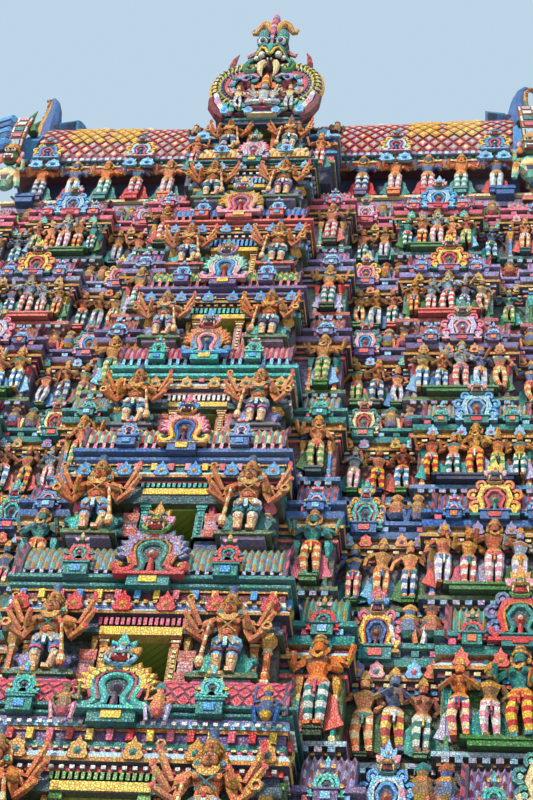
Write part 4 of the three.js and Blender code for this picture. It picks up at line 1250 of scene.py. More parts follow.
def mouldBlock(x, y, z, wide, high, colour, panel):
    # the stepped block that a gable stands on, with a painted panel
    return [(cube, at(x, y, z) @ scaled(wide, 0.34, high), {"block": colour}),
            (cube, at(x, y, z + 0.86 * high) @ scaled(wide * 1.15, 0.40, 0.14 * high), {"block": colour}),
            (cube, at(x, y - 0.16, z + 0.2 * high) @ scaled(wide * 0.42, 0.08, 0.5 * high),
             {"block": panel})]


roofShare = 0.64        # where the shrine roofs on the flanks start, as a share of the storey


def buildWalls(s, look):
    k, h, c, f, y = s.k, s.height, s.shelf, s.ledge, -s.face
    n = storey(k + 1)
    foot = f - 0.38 * storey(k - 1).height if k else f - 0.3
    lintelFoot, deep = c + look["lintel"] * h, s.depth - tower["wall"]
    podium, ledge, stand, paintedWall = look["podium"], look["ledge"], look["pedestal"], look["side"][4]

    def sideWall(bm):
        top = f + 0.36 * h
        profile = [(-0.05, foot), (-0.05, f - 0.34), (0.04, f - 0.30), (0.04, f - 0.20), (0.15, f - 0.15),
                   (0.15, f - 0.03), (0.08, f), (0, f), (0, top), (-tower["wall"], top),
                   (-tower["wall"], foot)]
        parts = [podium, podium, "gold", podium, ledge, ledge, ledge, paintedWall, paintedWall, "grey",
                 "grey"]
        sweep(bm, sideCorners(s), profile, parts)

    def jamb(bm):
        # one side of the doorway, its sill, and the pedestal that a guardian stands on
        side, keeper, half = s.porch - 0.04, look["keeperSpread"] * (s.porch + s.door) * 0.5, 0.16 * h
        top = c + look["keeperLift"]
        slab(bm, look["wall"], (s.door, y + 0.25, s.sill - 0.05), (side, -deep, lintelFoot + 0.1))
        slab(bm, podium, (0, y + 0.16, foot if k else f), (s.porch - 0.06, -deep, s.sill - 0.12))
        slab(bm, ledge, (0, y - 0.02, s.sill - 0.12), (s.porch, -deep, s.sill - 0.02))
        slab(bm, podium, (s.door, y + 0.10, s.sill - 0.04), (side, y + 0.4, c + 0.02))
        slab(bm, ledge, (s.door, y + 0.02, c), (s.porch, y + 0.4, c + 0.06))
        for colour, wide, out, z0, z1 in ((stand, half, 0.46, 0.15, 0.08),
                                          ("lilac", half * 0.8, 0.38, 0.24, 0.15),
                                          (stand, half * 0.9, 0.42, 0.08, 0)):
            slab(bm, colour, (keeper - wide, y - out, top - z0), (keeper + wide, y + 0.1, top - z1))
        for colour, wide, z in (("coral", 0.20, 0.04), ("pink", 0.16, 0.10), ("coral", 0.18, 0.16)):
            slab(bm, colour, (s.door + 0.42 - wide, y - 0.04, c + (z - 0.04) * h),
                 (s.door + 0.42 + wide, y + 0.3, c + (z + 0.02) * h))
        slab(bm, look["posts"][0], (s.door, y + 0.10, s.sill - 0.05), (s.door + 0.07, y + 0.3, lintelFoot))

    def floors(bm):
        for level, inset, z0, z1 in [(s, 0.4, f + 0.5 * h, f + 0.63 * h), (n, 0.5, n.sill - 0.3, n.sill),
                                     (s, 0.5, f - 0.3, s.sill)][:2 if k else 3]:
            x, d = level.length - inset, level.depth - inset
            slab(bm, "grey", (-x, -d, z0), (x, d, z1))

    wall, doorSide = shapeOf(sideWall), once(jamb)
    masonry = [(wall, front, {}), (wall, flipX, {})] + once(floors) + everyQuarter(doorSide)
    for name, (a, b, out) in sideRuns(s).items():
        masonry += allRound({name: rowAlong(a, b, -out - 0.10, f - 0.29, 0.26, (0.15, 0.12, 0.12),
                                            "lilac sky")})
    addPiece(f"storey_{k + 1}_masonry", masonry, carvedBands, "blue_stucco", f"storey_{k + 1}_walls")

    def lining(bm):
        # green boards that line the doorway
        for side in (-1, 1):
            slab(bm, "boards",
                 (side * s.door, y + 0.32, s.sill), (side * (s.door - 0.05), 0.05 - deep, lintelFoot))
        slab(bm, "boards", (-s.door, y + 0.12, lintelFoot - 0.05), (s.door, 0.05 - deep, lintelFoot + 0.02))

    addPiece(f"storey_{k + 1}_door_boards", frontAndBack(once(lining)), greenBoards, "teal_stucco")


def buildMouldings(s, look):
    k, h, c, f, y = s.k, s.height, s.shelf, s.ledge, -s.face
    lintelFoot, porchTop = c + look["lintel"] * h, c + (look["barrelFoot"] - 0.01) * h
    mould, frieze, bands, inner = look["side"][0], look["side"][3], look["bands"], -tower["wall"]

    def sideBands(bm):
        levels = [(0.03, 0.335), (0.06, 0.34), (0.06, 0.36), (0.02, 0.362), (0.02, 0.39), (0.08, 0.392),
                  (0.08, 0.42), (lip, 0.426), (lip + 0.02, 0.444), (0.7 * lip, 0.462), (0.06, 0.478),
                  (0.03, 0.48), (0.03, 0.508), (0.12, 0.514), (0.15, 0.535), (0.15, 0.56), (0.06, 0.565),
                  (0.06, 0.60), (0.18, 0.61), (0.18, 0.64), (inner, 0.64), (inner, 0.335)]
        parts = ["rose", "coral", "navy", "teal", "navy", frieze, "navy", "gold", "ice", "ice", "ice",
                 frieze, "gold", mould, mould, "white", "navy", mould, mould, mould, "grey", "grey"]
        sweep(bm, sideCorners(s), [(out, f + share * h) for out, share in levels], parts)

    def porchBands(bm):
        points, parts = bandProfile(bands, c, h, porchTop, lip)
        parts[-1] = "grey"
        firstTeeth = [band[0] for band in bands].index("teeth")
        teethFoot = c + bands[firstTeeth][1] * h
        parts[:2 * firstTeeth + 2] = ["deepTeal"] * 2 * firstTeeth + ["navy"] * 2
        sweep(bm, porchCorners(s.porch, -s.depth + 0.2, y),
              points + [(-0.6, porchTop), (-0.6, lintelFoot)], parts + ["grey", "olive"])
        wide, over = s.porch - 0.3, s.door + 0.26
        slab(bm, "olive", (-wide, y + 0.3, lintelFoot), (wide, -s.depth + 0.5, lintelFoot + 0.5))
        # the painted lintel over the doorway, and the flat top behind the bands
        slab(bm, "yellow", (-over, y - 0.10, teethFoot - 0.045 * h), (over, y + 0.2, teethFoot))
        slab(bm, "grey", (-s.porch + 0.1, y + 0.1, porchTop - 0.3),
             (s.porch - 0.1, -storey(k + 1).depth + 0.3, porchTop - 0.05))

    side = shapeOf(sideBands)
    mouldings = [(side, front, {}), (side, flipX, {})]
    rows = bandBlocks(bands, c, h, porchTop, -s.porch, s.porch, y, s.door + 0.34)
    returns = bandBlocks(bands, c, h, porchTop, y, -s.depth - tower["panelReach"], -s.porch)
    high = 0.075 * h
    colour = next((band[2] for band in bands if band[0] == "mould"), mould)
    rows += mouldBlock(0, y - 0.16, c + look["gableFoot"] * h - high, 0.6 * look["gableWidth"] * h, high,
                       colour, "yellow")
    for place in (-0.56, 0.56) if k < topStorey - 1 else ():
        rows += mouldBlock(place * s.porch, y - 0.13, c + look["barrelFoot"] * h - 0.9 * high, 0.11 * h,
                           high, colour, "azure")
    mouldings += frontAndBack(once(porchBands) + rows) + everyQuarter(placed(towardsEnd, returns))
    for name, (a, b, out) in sideRuns(s).items():
        row = []
        for ahead, share, spacing, size, tints in (
                (0.05, 0.364, 0.30, (0.14, 0.09, 0.024 * h), "azure"),
                (0.11, 0.394, 0.30, (0.13, 0.08, 0.02 * h), "cream"),
                (0.08, 0.566, 0.42, (0.16, 0.14, 0.034 * h), f"rose {mould} sky {mould}")):
            row += rowAlong(a, b, -out - ahead, f + share * h, spacing, size, tints)
        middle = (a + b) / 2
        if name in ("bay", "bayEnd"):
            row += mouldBlock(middle, -out - 0.12, f + 0.54 * h, 0.17 * h, 0.07 * h, mould, "red")
            for place in (-0.62, 0.62):
                row += mouldBlock(middle + place * (b - a) / 2, -out - 0.10, f + 0.55 * h, 0.09 * h,
                                  0.07 * h, mould, "orange")
        elif name in ("panel", "corner"):
            row += mouldBlock(middle, -out - 0.10, f + 0.55 * h, 0.10 * h, 0.07 * h, mould, "sky")
        elif name == "recess":
            row += mouldBlock(a + 0.27 * (b - a), -out - 0.12, f + 0.53 * h, 0.15 * h, 0.08 * h, mould,
                              "coral")
        mouldings += allRound({name: row})
    addPiece(f"storey_{k + 1}_mouldings", mouldings, paintedStucco, "teal_stucco",
             f"storey_{k + 1}_cornice")


def postPalette(tints):
    return dict(zip(("shaft", "trim", "capital"), tints), bead=tints[1])


def buildPosts(s, look):
    k, h, c, f, y = s.k, s.height, s.shelf, s.ledge, -s.face
    doorPalette, cornerPalette = postPalette(look["posts"]), postPalette(look["columns"])
    stands = [(doorPillar, s.door + 0.14, 0.06, 0.20, doorPalette),
              (post, s.door + 0.36, 0.14, 0.40, cornerPalette),
              (post, s.porch - 0.22, 0.02, 0.66, cornerPalette),
              (doorPillar, s.porch - 0.50, 0.16, 0.22, doorPalette),
              (post, s.porch - 0.16, 0.80, 0.50, doorPalette)]
    posts = everyQuarter([(shape, at(x, y + ahead, c, 0, look["lintel"] * h, wide), palette)
                          for shape, x, ahead, wide, palette in stands])
    tints = ["orange cream teal", "lilac gold red", "turquoise cream gold", "green teal turquoise",
             "azure pink gold"]
    runs, byRun = sideRuns(s), {}
    for i, (name, inset) in enumerate([("panel", 0.16), ("bay", 0.14), ("corner", 0.14),
                                       ("cornerEnd", 0.14), ("bayEnd", 0.14), ("recess", 0.30)]):
        a, b, out = runs[name]
        palette = postPalette(tints[(i + k) % 5].split())
        byRun[name] = [(post, at(x, -out - 0.02, f, 0, 0.34 * h, 0.44), palette)
                       for x in (a + inset, b - inset)]
    addPiece(f"storey_{k + 1}_posts", posts + allRound(byRun), paintedStucco, "gold_stucco")


def buildRoofs(s, look):
    k, h, c, f = s.k, s.height, s.shelf, s.ledge
    n = storey(k + 1)
    mould, ribA, ribB, _, paintedWall = look["side"]
    z0 = c + look["barrelFoot"] * h - 0.06
    z1 = min(n.sill - 0.03, z0 + 0.19 * h)
    depth = min(0.62 * (z1 - z0), s.face - n.face)
    half, y = s.porch - 0.06, -s.face - 0.12

    def flatTop(bm):
        slab(bm, look["barrel"][0], (-half, y + depth * 0.9, z1 - 0.12), (half, -n.face + 0.20, z1))

    shrines = frontAndBack(once(flatTop) + barrelRoof(-half, half, y + depth, z0, z1, depth,
                                                      look["barrel"]))
    sideBarrel = (mould, ribA, ribB, "beads" if k % 2 else "ribs")
    runs, byRun = sideRuns(s), {}
    mouldTop = f + roofShare * h
    low = mouldTop - 0.02
    high = min(f + h - 0.33, low + 0.21 * h)
    for name, inset, inner, hoods in (("bay", 0.16, n.depth + tower["bayReach"], True),
                                     ("bayEnd", 0.2, n.length + tower["endBayReach"], True),
                                     ("panel", 0.04, n.depth + tower["panelReach"], False),
                                     ("corner", 0.06, n.depth + tower["cornerReach"], False)):
        a, b, out = runs[name]
        deep = min(0.62 * (high - low), out + 0.10 - inner)
        flat = at((a + b) / 2, (-out - 0.15 + 0.9 * deep - inner + 0.2) / 2, high - 0.14)
        flat = flat @ scaled(b - a - 2 * inset, out - inner + 0.35 - 0.9 * deep, 0.13)
        byRun[name] = barrelRoof(a + inset, b - inset, -out - 0.10 + deep, low, high, deep, sideBarrel,
                                 "plum" if k % 2 else "maroon", 0.125,
                                 hoods) + [(cube, flat, {"block": mould})]
    shrines += allRound(byRun)

    def cornerShrine(bm):
        # a square shrine with a curved roof and a bud on top
        rise, wide = n.ledge - mouldTop, s.cornerHalf * 0.8
        slab(bm, mould, (-wide, -wide, 0), (wide, wide, 0.18 * rise))
        slab(bm, paintedWall, (-wide * 0.86, -wide * 0.86, 0), (wide * 0.86, wide * 0.86, 0.36 * rise))
        reach, start = wide * math.sqrt(2), len(bm.verts)
        outline = [(0.9, 0.34), (1.16, 0.36), (1.16, 0.42), (1.10, 0.56), (0.82, 0.74), (0.42, 0.86),
                   (0.16, 0.90), (0.26, 0.98), (0.02, 1.1)]
        turned(bm, [ribA, "gold", mould, mould, mould, mould, "gold", "gold"],
               [(reach * out, up * rise) for out, up in outline], sides=4)
        bm.verts.ensure_lookup_table()
        rotated(bm, 45, bm.verts[start:], "Z")

    a, b, out = runs["cornerEnd"]
    place = at(s.length + tower["cornerReach"] - s.cornerHalf * 0.8, (a + b) / 2 + 0.2, low)
    shrines += everyQuarter([(shapeOf(cornerShrine), place, {})])
    addPiece(f"storey_{k + 1}_shrine_roofs", shrines, roofStucco, "rose_stucco", f"storey_{k + 1}_parapet")


petalTints = [pair.split() for pair in ("gold teal", "sky rose", "coral gold", "turquoise cream",
                                        "tan maroon", "lavender gold", "pink teal")]
recessFaces = "scroll lotus lilac sky flame gold cream".split()


def buildGables(s, look):
    # horseshoe gables with lion faces, and the small ones along the cornices
    k, h, c, f, y = s.k, s.height, s.shelf, s.ledge, -s.face
    runs, byRun = sideRuns(s), {}
    big, flank, small = look["gable"]
    place = at(0, y - 0.24, c + look["gableFoot"] * h, 0, look["gableRise"] * h, look["gableWidth"] * h)
    gables = [(horseshoes[3], place, faces[big]), (horseshoes[2], back @ place, faces[big])]
    place = at(0.56 * s.porch, y - 0.20, c + look["barrelFoot"] * h + 0.03 * h, 0, 0.13 * h, 0.14 * h)
    gables += everyQuarter([(horseshoes[0], place, faces[small])])
    shala = [(0.5, 2, 0.34, 0.29, flank), (0.19, 0, 0.14, 0.13, small), (0.81, 0, 0.14, 0.13, small)]
    plan = {"bay": shala, "bayEnd": shala,        # along the run, detail, height, width and face
            "panel": [(0.5, 0, 0.15, 0.15, small)], "corner": [(0.5, 1, 0.17, 0.17, flank)],
            "cornerEnd": [(0.5, 1, 0.17, 0.17, small)],
            "recess": [(0.27, 2, 0.30, 0.22, recessFaces[(k + 2) % 7])],
            "recessEnd": [(0.5, 1, 0.24, 0.2, small)]}
    foot = f + roofShare * h - 0.05 * h
    for name, items in plan.items():
        a, b, out = runs[name]
        byRun[name] = [(horseshoes[detail],
                        at(a + share * (b - a), -out - 0.17, foot, 0, high * h, wide * h), faces[face])
                       for share, detail, high, wide, face in items]
    for name, (a, b, out) in runs.items():
        recess = "recess" in name
        count = max(1, round((b - a) / (0.42 if recess or name == "gap" else 0.72)))
        for i in range(count):
            if count > 2 and recess and i % 3 == 2:
                continue
            tint = petalTints[(k * 3 + (i if recess else 0) + len(name)) % 7]
            place = at(a + (i + 0.5) * (b - a) / count, -out - lip - 0.02, f + 0.435 * h, 0, 0.088 * h,
                       0.078 * h)
            byRun.setdefault(name, []).append((petal, place, {"petal": tint[0], "core": tint[1]}))
    kapota = next(band[1] for band in look["bands"] if band[0] == "kapota")
    tint = {"petal": look["petals"], "core": "gold" if look["petals"] != "gold" else "teal"}
    gables += everyQuarter([(petal, at(x * s.porch, y - lip - 0.02, c + (kapota + 0.015) * h, 0, 0.095 * h,
                                       0.09 * h), tint) for x in (0.16, 0.52, 0.92)])
    addPiece(f"storey_{k + 1}_gables", gables + allRound(byRun), paintedStucco, "gold_stucco")


def buildFigures(s, look):
    # door guardians, then the standing figures along the sides and squatting ones between the roofs
    k, h, c, f, y = s.k, s.height, s.shelf, s.ledge, -s.face
    keepers = []
    for side in (-1, 1):
        outfit = guardianDresses[(k + (side > 0)) % 3]
        place = at(side * look["keeperSpread"] * (s.porch + s.door) * 0.5, y - 0.28, c + look["keeperLift"],
                   0, look["keeperHeight"] * h)
        keepers += [(guardians[-side], place, outfit), (plainGuardians[-side], back @ place, outfit)]
    addPiece(f"storey_{k + 1}_guardians", keepers, paintedStucco, "gold_stucco")
    if k == 1:
        helpers = [(dwarves[1], turn @ at(x, y - 0.42, c + 0.60 * h, 0, 0.20 * h, 0.15 * h), dress())
                   for turn, x in ((flipX, 0.92), (front, 0.92), (front, 3.0))]
        addPiece("gable_helpers", frontAndBack(helpers), paintedStucco, "gold_stucco")

    crowd, runs = {}, sideRuns(s)
    counts = {"panel": 1, "recess": 3 if k < 7 else 2, "bay": 5, "gap": 1, "corner": 2, "cornerEnd": 1,
              "recessEnd": 1, "bayEnd": 3 if k < 4 else 2}
    for name, count in counts.items():
        a, b, out = runs[name]
        inset = 0.08 if name in ("bay", "recess") else 0.16
        a, b, ahead, bay = a + inset, b - inset, -out - 0.16, name == "bay"
        items = [(pedestal, at((a + b) / 2, ahead, f) @ scaled(0.78 * (b - a), 0.40, 0.05 * h),
                  {"block": look["pedestal"]})] if bay else []
        for i in range(count):
            x = a + (i + 0.5) * (b - a) / count
            main = name == "panel" or (bay and i == 2)
            size = (0.52 if main else random.uniform(0.40, 0.47)) * h
            shape = random.choice(deities if main else people)
            high = 0.05 * h if main or bay else random.uniform(0.02, 0.05) * h
            if not bay:
                items.append((pedestal, at(x, ahead, f) @ scaled(0.42 if main else 0.30, 0.36, high),
                              {"block": random.choice([look["pedestal"], "green", "deepTeal", "moss"])}))
            items.append((shape, at(x, ahead, f + high, random.uniform(-14, 14), size), dress()))
        crowd[name] = items
    for name, shares in (("recess", (0.62, 0.86)), ("gap", (0.5,))):
        a, b, out = runs[name]
        crowd[name] += [(random.choice(dwarves),
                         at(a + share * (b - a), -out - 0.02, f + roofShare * h - 0.02, 0, 0.25 * h),
                         dict(dress(), skin=("bronze", "slate", "copper")[(k + round(3 * share)) % 3]))
                        for share in shares]
    addPiece(f"storey_{k + 1}_figures", allRound(crowd), paintedStucco, "rose_stucco")


for k, look in enumerate(storeyLooks):
    for build in (buildWalls, buildMouldings, buildPosts, buildRoofs, buildGables, buildFigures):
        build(storey(k), look)
print("storeys made", totalTriangles)


# The roof, its neck, its ends and its crowns, in metres of the real tower.
roof = {
    "halfLength": 7.6, "halfDepth": 2.45, "foot": 47.05, "rise": 3.3, "saddle": 0.2, "top": 50.5,
    "neckHalfLength": 7.75, "neckHalfDepth": 1.9,
    "tileWidth": 0.38, "tileStep": 0.27,
    "patches": [(4.25, 5.2), (5.45, 6.65)], "patchRows": (2, 12),        # where the lattice is yellow
    "keepers": [3.01, 4.01, 5.0, 6.0, 7.06], "keeperHeight": 1.86,
    "finials": 9, "finialSpacing": 1.58,
}


def onVault(x, angle):
    # a place on the barrel roof, so many radians up from its front foot, with -Y pointing out of the roof
    lift = roof["saddle"] * (x / roof["halfLength"]) ** 2 * math.sin(angle)
    y, z = -roof["halfDepth"] * math.cos(angle), roof["foot"] + roof["rise"] * math.sin(angle) + lift
    tilt = math.atan2(math.sin(angle) / roof["rise"], math.cos(angle) / roof["halfDepth"])
    return moved(x, y, z) @ Matrix.Rotation(-tilt, 4, "X")


def buildLattice():
    # rows of painted lozenges, staggered, with the dark red roof between them
    copies, angle, row = [], 0.06, 0
    lowRow, highRow = roof["patchRows"]
    while angle < math.pi / 2 - 0.03:
        for i in range(round((roof["halfLength"] - 1.5) / roof["tileWidth"])):
            x = 1.55 + (i + 0.5 * (row % 2)) * roof["tileWidth"]
            patch = lowRow < row < highRow and any(x0 < x < x1 for x0, x1 in roof["patches"])
            border, middle = ("rose" if (i + row) % 2 else "coral"), ("mint" if (i + row) % 3 else "cream")
            tint = {"border": "gold", "tile": "yellow"} if patch else {"border": border, "tile": middle}
            wide, thick, high = (0.98, 0.12, 1.9) if patch else (0.80, 0.07, 1.56)
            size = scaled(roof["tileWidth"] * wide, thick, roof["tileStep"] * high)
            copies.append((tile, onVault(x, angle) @ size, tint))
        across = math.hypot(roof["halfDepth"] * math.sin(angle), roof["rise"] * math.cos(angle))
        angle += roof["tileStep"] / across
        row += 1
    addPiece("roof_lattice", everyQuarter(copies), paintedStucco, "roof_stucco")


# Out from the neck's wall, height, and the colour up to the next point.
neckProfile = [(-0.45, 44.35, "purple"), (0.56, 44.35, "lilac"), (0.60, 44.60, "maroon"),
               (0.62, 44.63, "cream"), (0.70, 44.66, "cream"), (0.70, 44.77, "navy"), (0.02, 44.79, "navy"),
               (0.02, 46.38, "maroon"), (0.38, 46.40, "orange"), (0.39, 46.53, "maroon"),
               (0.41, 46.54, "red"), (0.44, 46.66, "cream"), (0.48, 46.68, "cream"),
               (0.48, 46.76, "deepTeal"), (0.46, 46.78, "deepTeal"), (0.48, 46.90, "lilac"),
               (0.56, 46.92, "lavender"), (0.56, 47.0, "rose"), (0.54, 47.08, "maroon"),
               (-0.45, 47.08, "grey")]
neckBands = bandsFrom("line 46.46 azure, line 46.56 white, line 46.62 rose, line 46.68 white, "
                      "teeth 46.74 navy sky, line 46.92 pink")


def buildNeck():
    s = storey(topStorey)
    x, y, face, wide, sill = roof["neckHalfLength"], roof["neckHalfDepth"], -s.face, s.porch * 0.93, 45.12

    def side(bm):
        corners = [(1.2, -y, 0, -1), (x, -y, 0.53, -1), (x, y, 0.53, 1), (1.2, y, 0, 1)]
        sweep(bm, corners, [point[:2] for point in neckProfile], [point[2] for point in neckProfile])

    def porch(bm):
        points, parts = bandProfile(neckBands, 0.0, 1.0, 46.99, 0.1)
        sweep(bm, porchCorners(wide, -y, face), points + [(-0.6, 46.99), (-0.6, 46.44)],
              parts + ["grey", "olive"])
        slab(bm, "olive", (-wide + 0.3, face + 0.3, 46.30), (wide - 0.3, -y + 0.2, 46.9))
        slab(bm, "grey", (-wide + 0.1, face + 0.2, 44.6), (wide - 0.1, -y + 0.2, sill - 0.05))
        for hand in (-1, 1):
            slab(bm, "navy", (hand * s.door, face + 0.22, sill - 0.05), (hand * wide, -y + 0.3, 46.5))
            slab(bm, "deepTeal", (0, face + 0.1, 43.2), (hand * wide, -y + 0.3, sill - 0.1))
            slab(bm, "teal", (hand * s.door, face - 0.12, 45.0), (hand * wide, face + 0.5, sill))
            slab(bm, "turquoise", (hand * 0.3, face - 0.42, 44.42), (hand * wide, face + 0.2, 44.52))
            slab(bm, "navy", (hand * 0.3, face - 0.30, 44.52), (hand * wide, face + 0.2, 44.62))
            for i in range(9):        # the rope along the foot
                start = Vector((hand * (0.36 + 0.12 * i), face - 0.40, 44.66))
                tube(bm, "tan" if i % 2 else "cream", [start, start + Vector((hand * 0.2, 0.04, 0.28))],
                     [0.085, 0.085], 5)
            slab(bm, "orange", (hand * s.door, face + 0.02, sill),
                 (hand * (s.door + 0.13), face + 0.3, 46.46))
            slab(bm, "maroon", (hand * 0.3, face - 0.28, 44.62), (hand * wide, face + 0.2, 44.92))

    def sideBlock(bm):
        # the narrow shrine between the porch and the row of keepers: colour, reach and top of each layer
        foot = 44.35
        for colour, out, top in (("navy", 0.0, 45.3), ("cream", 0.06, 45.42), ("rose", 0.02, 45.7),
                                 ("azure", 0.10, 45.82), ("navy", 0.0, 46.15), ("orange", 0.08, 46.27),
                                 ("blue", 0.02, 46.52), ("sky", 0.12, 46.64), ("maroon", 0.02, 46.84)):
            slab(bm, colour, (1.3, -3.40 - out, foot), (2.2 + out, -1.9, top))
            foot = top

    whole = shapeOf(side)
    copies = [(whole, front, {}), (whole, flipX, {})] + frontAndBack(once(porch))
    copies += frontAndBack(bandBlocks(neckBands, 0.0, 1.0, 46.99, -wide, wide, face))
    edge = rowAlong(1.6, x + 0.3, -y - 0.57, 46.88, 0.2, (0.12, 0.08, 0.13), "lilac ice")
    edge += rowAlong(1.6, x, -y - 0.47, 46.77, 0.24, (0.10, 0.08, 0.12), "teal")
    edge += barrelRoof(1.45, 2.25, -2.9, 46.84, 47.25, 0.62, ("brown", "tan", "bronze", "ribs"),
                       hoods=False)
    edge += once(sideBlock) + [(post, at(wide - 0.14, face + 0.02, sill, 0, 1.2, 0.45),
                                {"shaft": "lavender", "trim": "white", "capital": "gold"}),
                               (petal, at(1.85, -3.62, 46.3, 0, 0.40, 0.5),
                                {"petal": "sky", "core": "azure"})]
    ends = rowAlong(-y - 0.5, y + 0.5, -x - 0.32, 46.88, 0.2, (0.12, 0.08, 0.13), "lilac ice")
    copies += everyQuarter(edge) + bothEnds(placed(towardsEnd, ends))
    addPiece("roof_neck", copies, paintedStucco, "blue_stucco", "roof_neck_walls", "roof_neck_shelf_left",
             "roof_neck_shelf_right", "roof_eave")


def neckDress(i):
    legA, legB = [("blue", "white"), ("white", "pink"), ("white", "rose"), ("turquoise", "white"),
                  ("ice", "white")][i % 5]
    return {"skin": "orange" if i % 2 else "slate", "legA": legA, "legB": legB, "cloth": "gold",
            "belt": "ochre", "fin": "teal" if i % 2 else "red", "gold": "gold", "crown": "ochre",
            "halo": "gold"}


def cornerOgre(bm):
    # the fat seated ogre at each corner of the roof's foot
    turned(bm, ["mint", "navy", "gold", "cream", "mint", "mint"],
           [(0.20, 44.85), (0.40, 45.10), (0.46, 45.32), (0.46, 45.42), (0.42, 45.72), (0.26, 46.02)],
           (8.0, -2.66, 0), 9, 0.8)
    for side in (-1, 1):
        limb(bm, ["cream", "mint", "cream", "gold"],
             [(8.0 + side * 0.2, -2.8, 45.15), (8.0 + side * 0.55, -3.05, 45.25),
              (8.0 + side * 0.66, -2.9, 44.68)], [0.21, 0.18, 0.12], 6, 3)
        limb(bm, ["mint", "gold", "mint"],
             [(8.0 + side * 0.30, -2.7, 45.9), (8.0 + side * 0.64, -2.85, 45.75),
              (8.0 + side * 0.62, -2.95, 46.2)], [0.13, 0.10, 0.08], 5, 3)
        orb(bm, "orange", (8.0 + side * 0.42, -2.92, 46.22), (0.15, 0.08, 0.17), 7, 5)
        orb(bm, "pink", (8.0 + side * 0.44, -2.86, 46.62), (0.12, 0.08, 0.18), 6, 4)
        orb(bm, "white", (8.0 + side * 0.15, -3.20, 46.56), (0.10, 0.08, 0.10), 7, 5)
        orb(bm, "black", (8.0 + side * 0.15, -3.27, 46.55), (0.05, 0.04, 0.05), 5, 4)
        tube(bm, "white", [(8.0 + side * 0.17, -3.18, 46.10), (8.0 + side * 0.19, -3.26, 46.30)],
             [0.05, 0.01], 5)
        tube(bm, "gold", [(8.0 + side * 0.06, -3.2, 46.70), (8.0 + side * 0.30, -3.12, 46.74)],
             [0.05, 0.03], 5)
    orb(bm, "olive", (8.0, -2.92, 46.38), (0.37, 0.30, 0.38), 10, 7)
    orb(bm, "maroon", (8.0, -3.12, 46.16), (0.26, 0.14, 0.12), 8, 5)
    slab(bm, "white", (7.85, -3.27, 46.20), (8.15, -3.12, 46.26))
    orb(bm, "bronze", (8.0, -3.24, 46.40), (0.12, 0.10, 0.10), 7, 5)
    turned(bm, ["gold", "orange", "gold", "tan", "gold"],
           [(0.34, 46.66), (0.38, 46.78), (0.28, 46.92), (0.24, 47.06), (0.10, 47.20), (0.01, 47.32)],
           (8.0, -2.9, 0), 9)


def buildRoofFigures():
    # the row of keepers round the neck, the guardians of its doorway, and the ogres at the roof's corners
    s = storey(topStorey)
    tall, wide, stands, copies = roof["keeperHeight"], 1.86, ["purple", "orange", "red", "teal", "blue"], []
    for hand in (1, -1):
        for i, x in enumerate(roof["keepers"]):
            number = i + (hand < 0)
            place, look = at(hand * x, -2.50, 44.95, 0, tall, wide), neckDress(number)
            copies += [(deities[0], place, look), (people[5], back @ place, look)]
            for turn in (front, back):
                copies.append((pedestal, turn @ at(hand * x, -2.58, 44.70) @ scaled(0.42, 0.34, 0.27),
                               {"block": stands[number % 5]}))
    ends = []
    for i, y in enumerate((-1.2, 0.0, 1.2)):
        ends += [(people[5], towardsEnd @ at(y, -8.02, 44.95, 0, tall, wide), neckDress(i)),
                 (pedestal, towardsEnd @ at(y, -8.05, 44.70) @ scaled(0.4, 0.34, 0.27),
                  {"block": stands[i]})]
    copies += bothEnds(ends)
    for i, (hand, turn) in enumerate(((-1, front), (1, front), (-1, back), (1, back))):
        keeper = (guardians if turn is front else plainGuardians)[-hand]
        copies.append((keeper, turn @ at(hand * 0.92, -s.face - 0.22, 45.14, 0, 1.68),
                       guardianDresses[i % 2]))
    lady = dict(neckDress(1), skin="tan", legA="red", legB="white", fin="teal", cloth="red")
    smaller = at(8.06, -2.98, 47.0, 0, 0.86, 0.72) @ moved(-8.0, 2.92, -47.0)
    copies += everyQuarter([(shapeOf(cornerOgre), smaller, {}),
                            (pedestal, at(7.33, -2.6, 44.52) @ scaled(0.6, 0.45, 0.36), {"block": "blue"}),
                            (dwarves[0], at(2.2, -3.35, 46.84, 10, 0.62),
                             {"skin": "bronze", "legA": "brown", "crown": "brown"}),
                            (people[6], at(1.88, -4.0, 44.40, 0, 1.62, 1.5), lady)])
    addPiece("roof_figures", copies, paintedStucco, "gold_stucco")


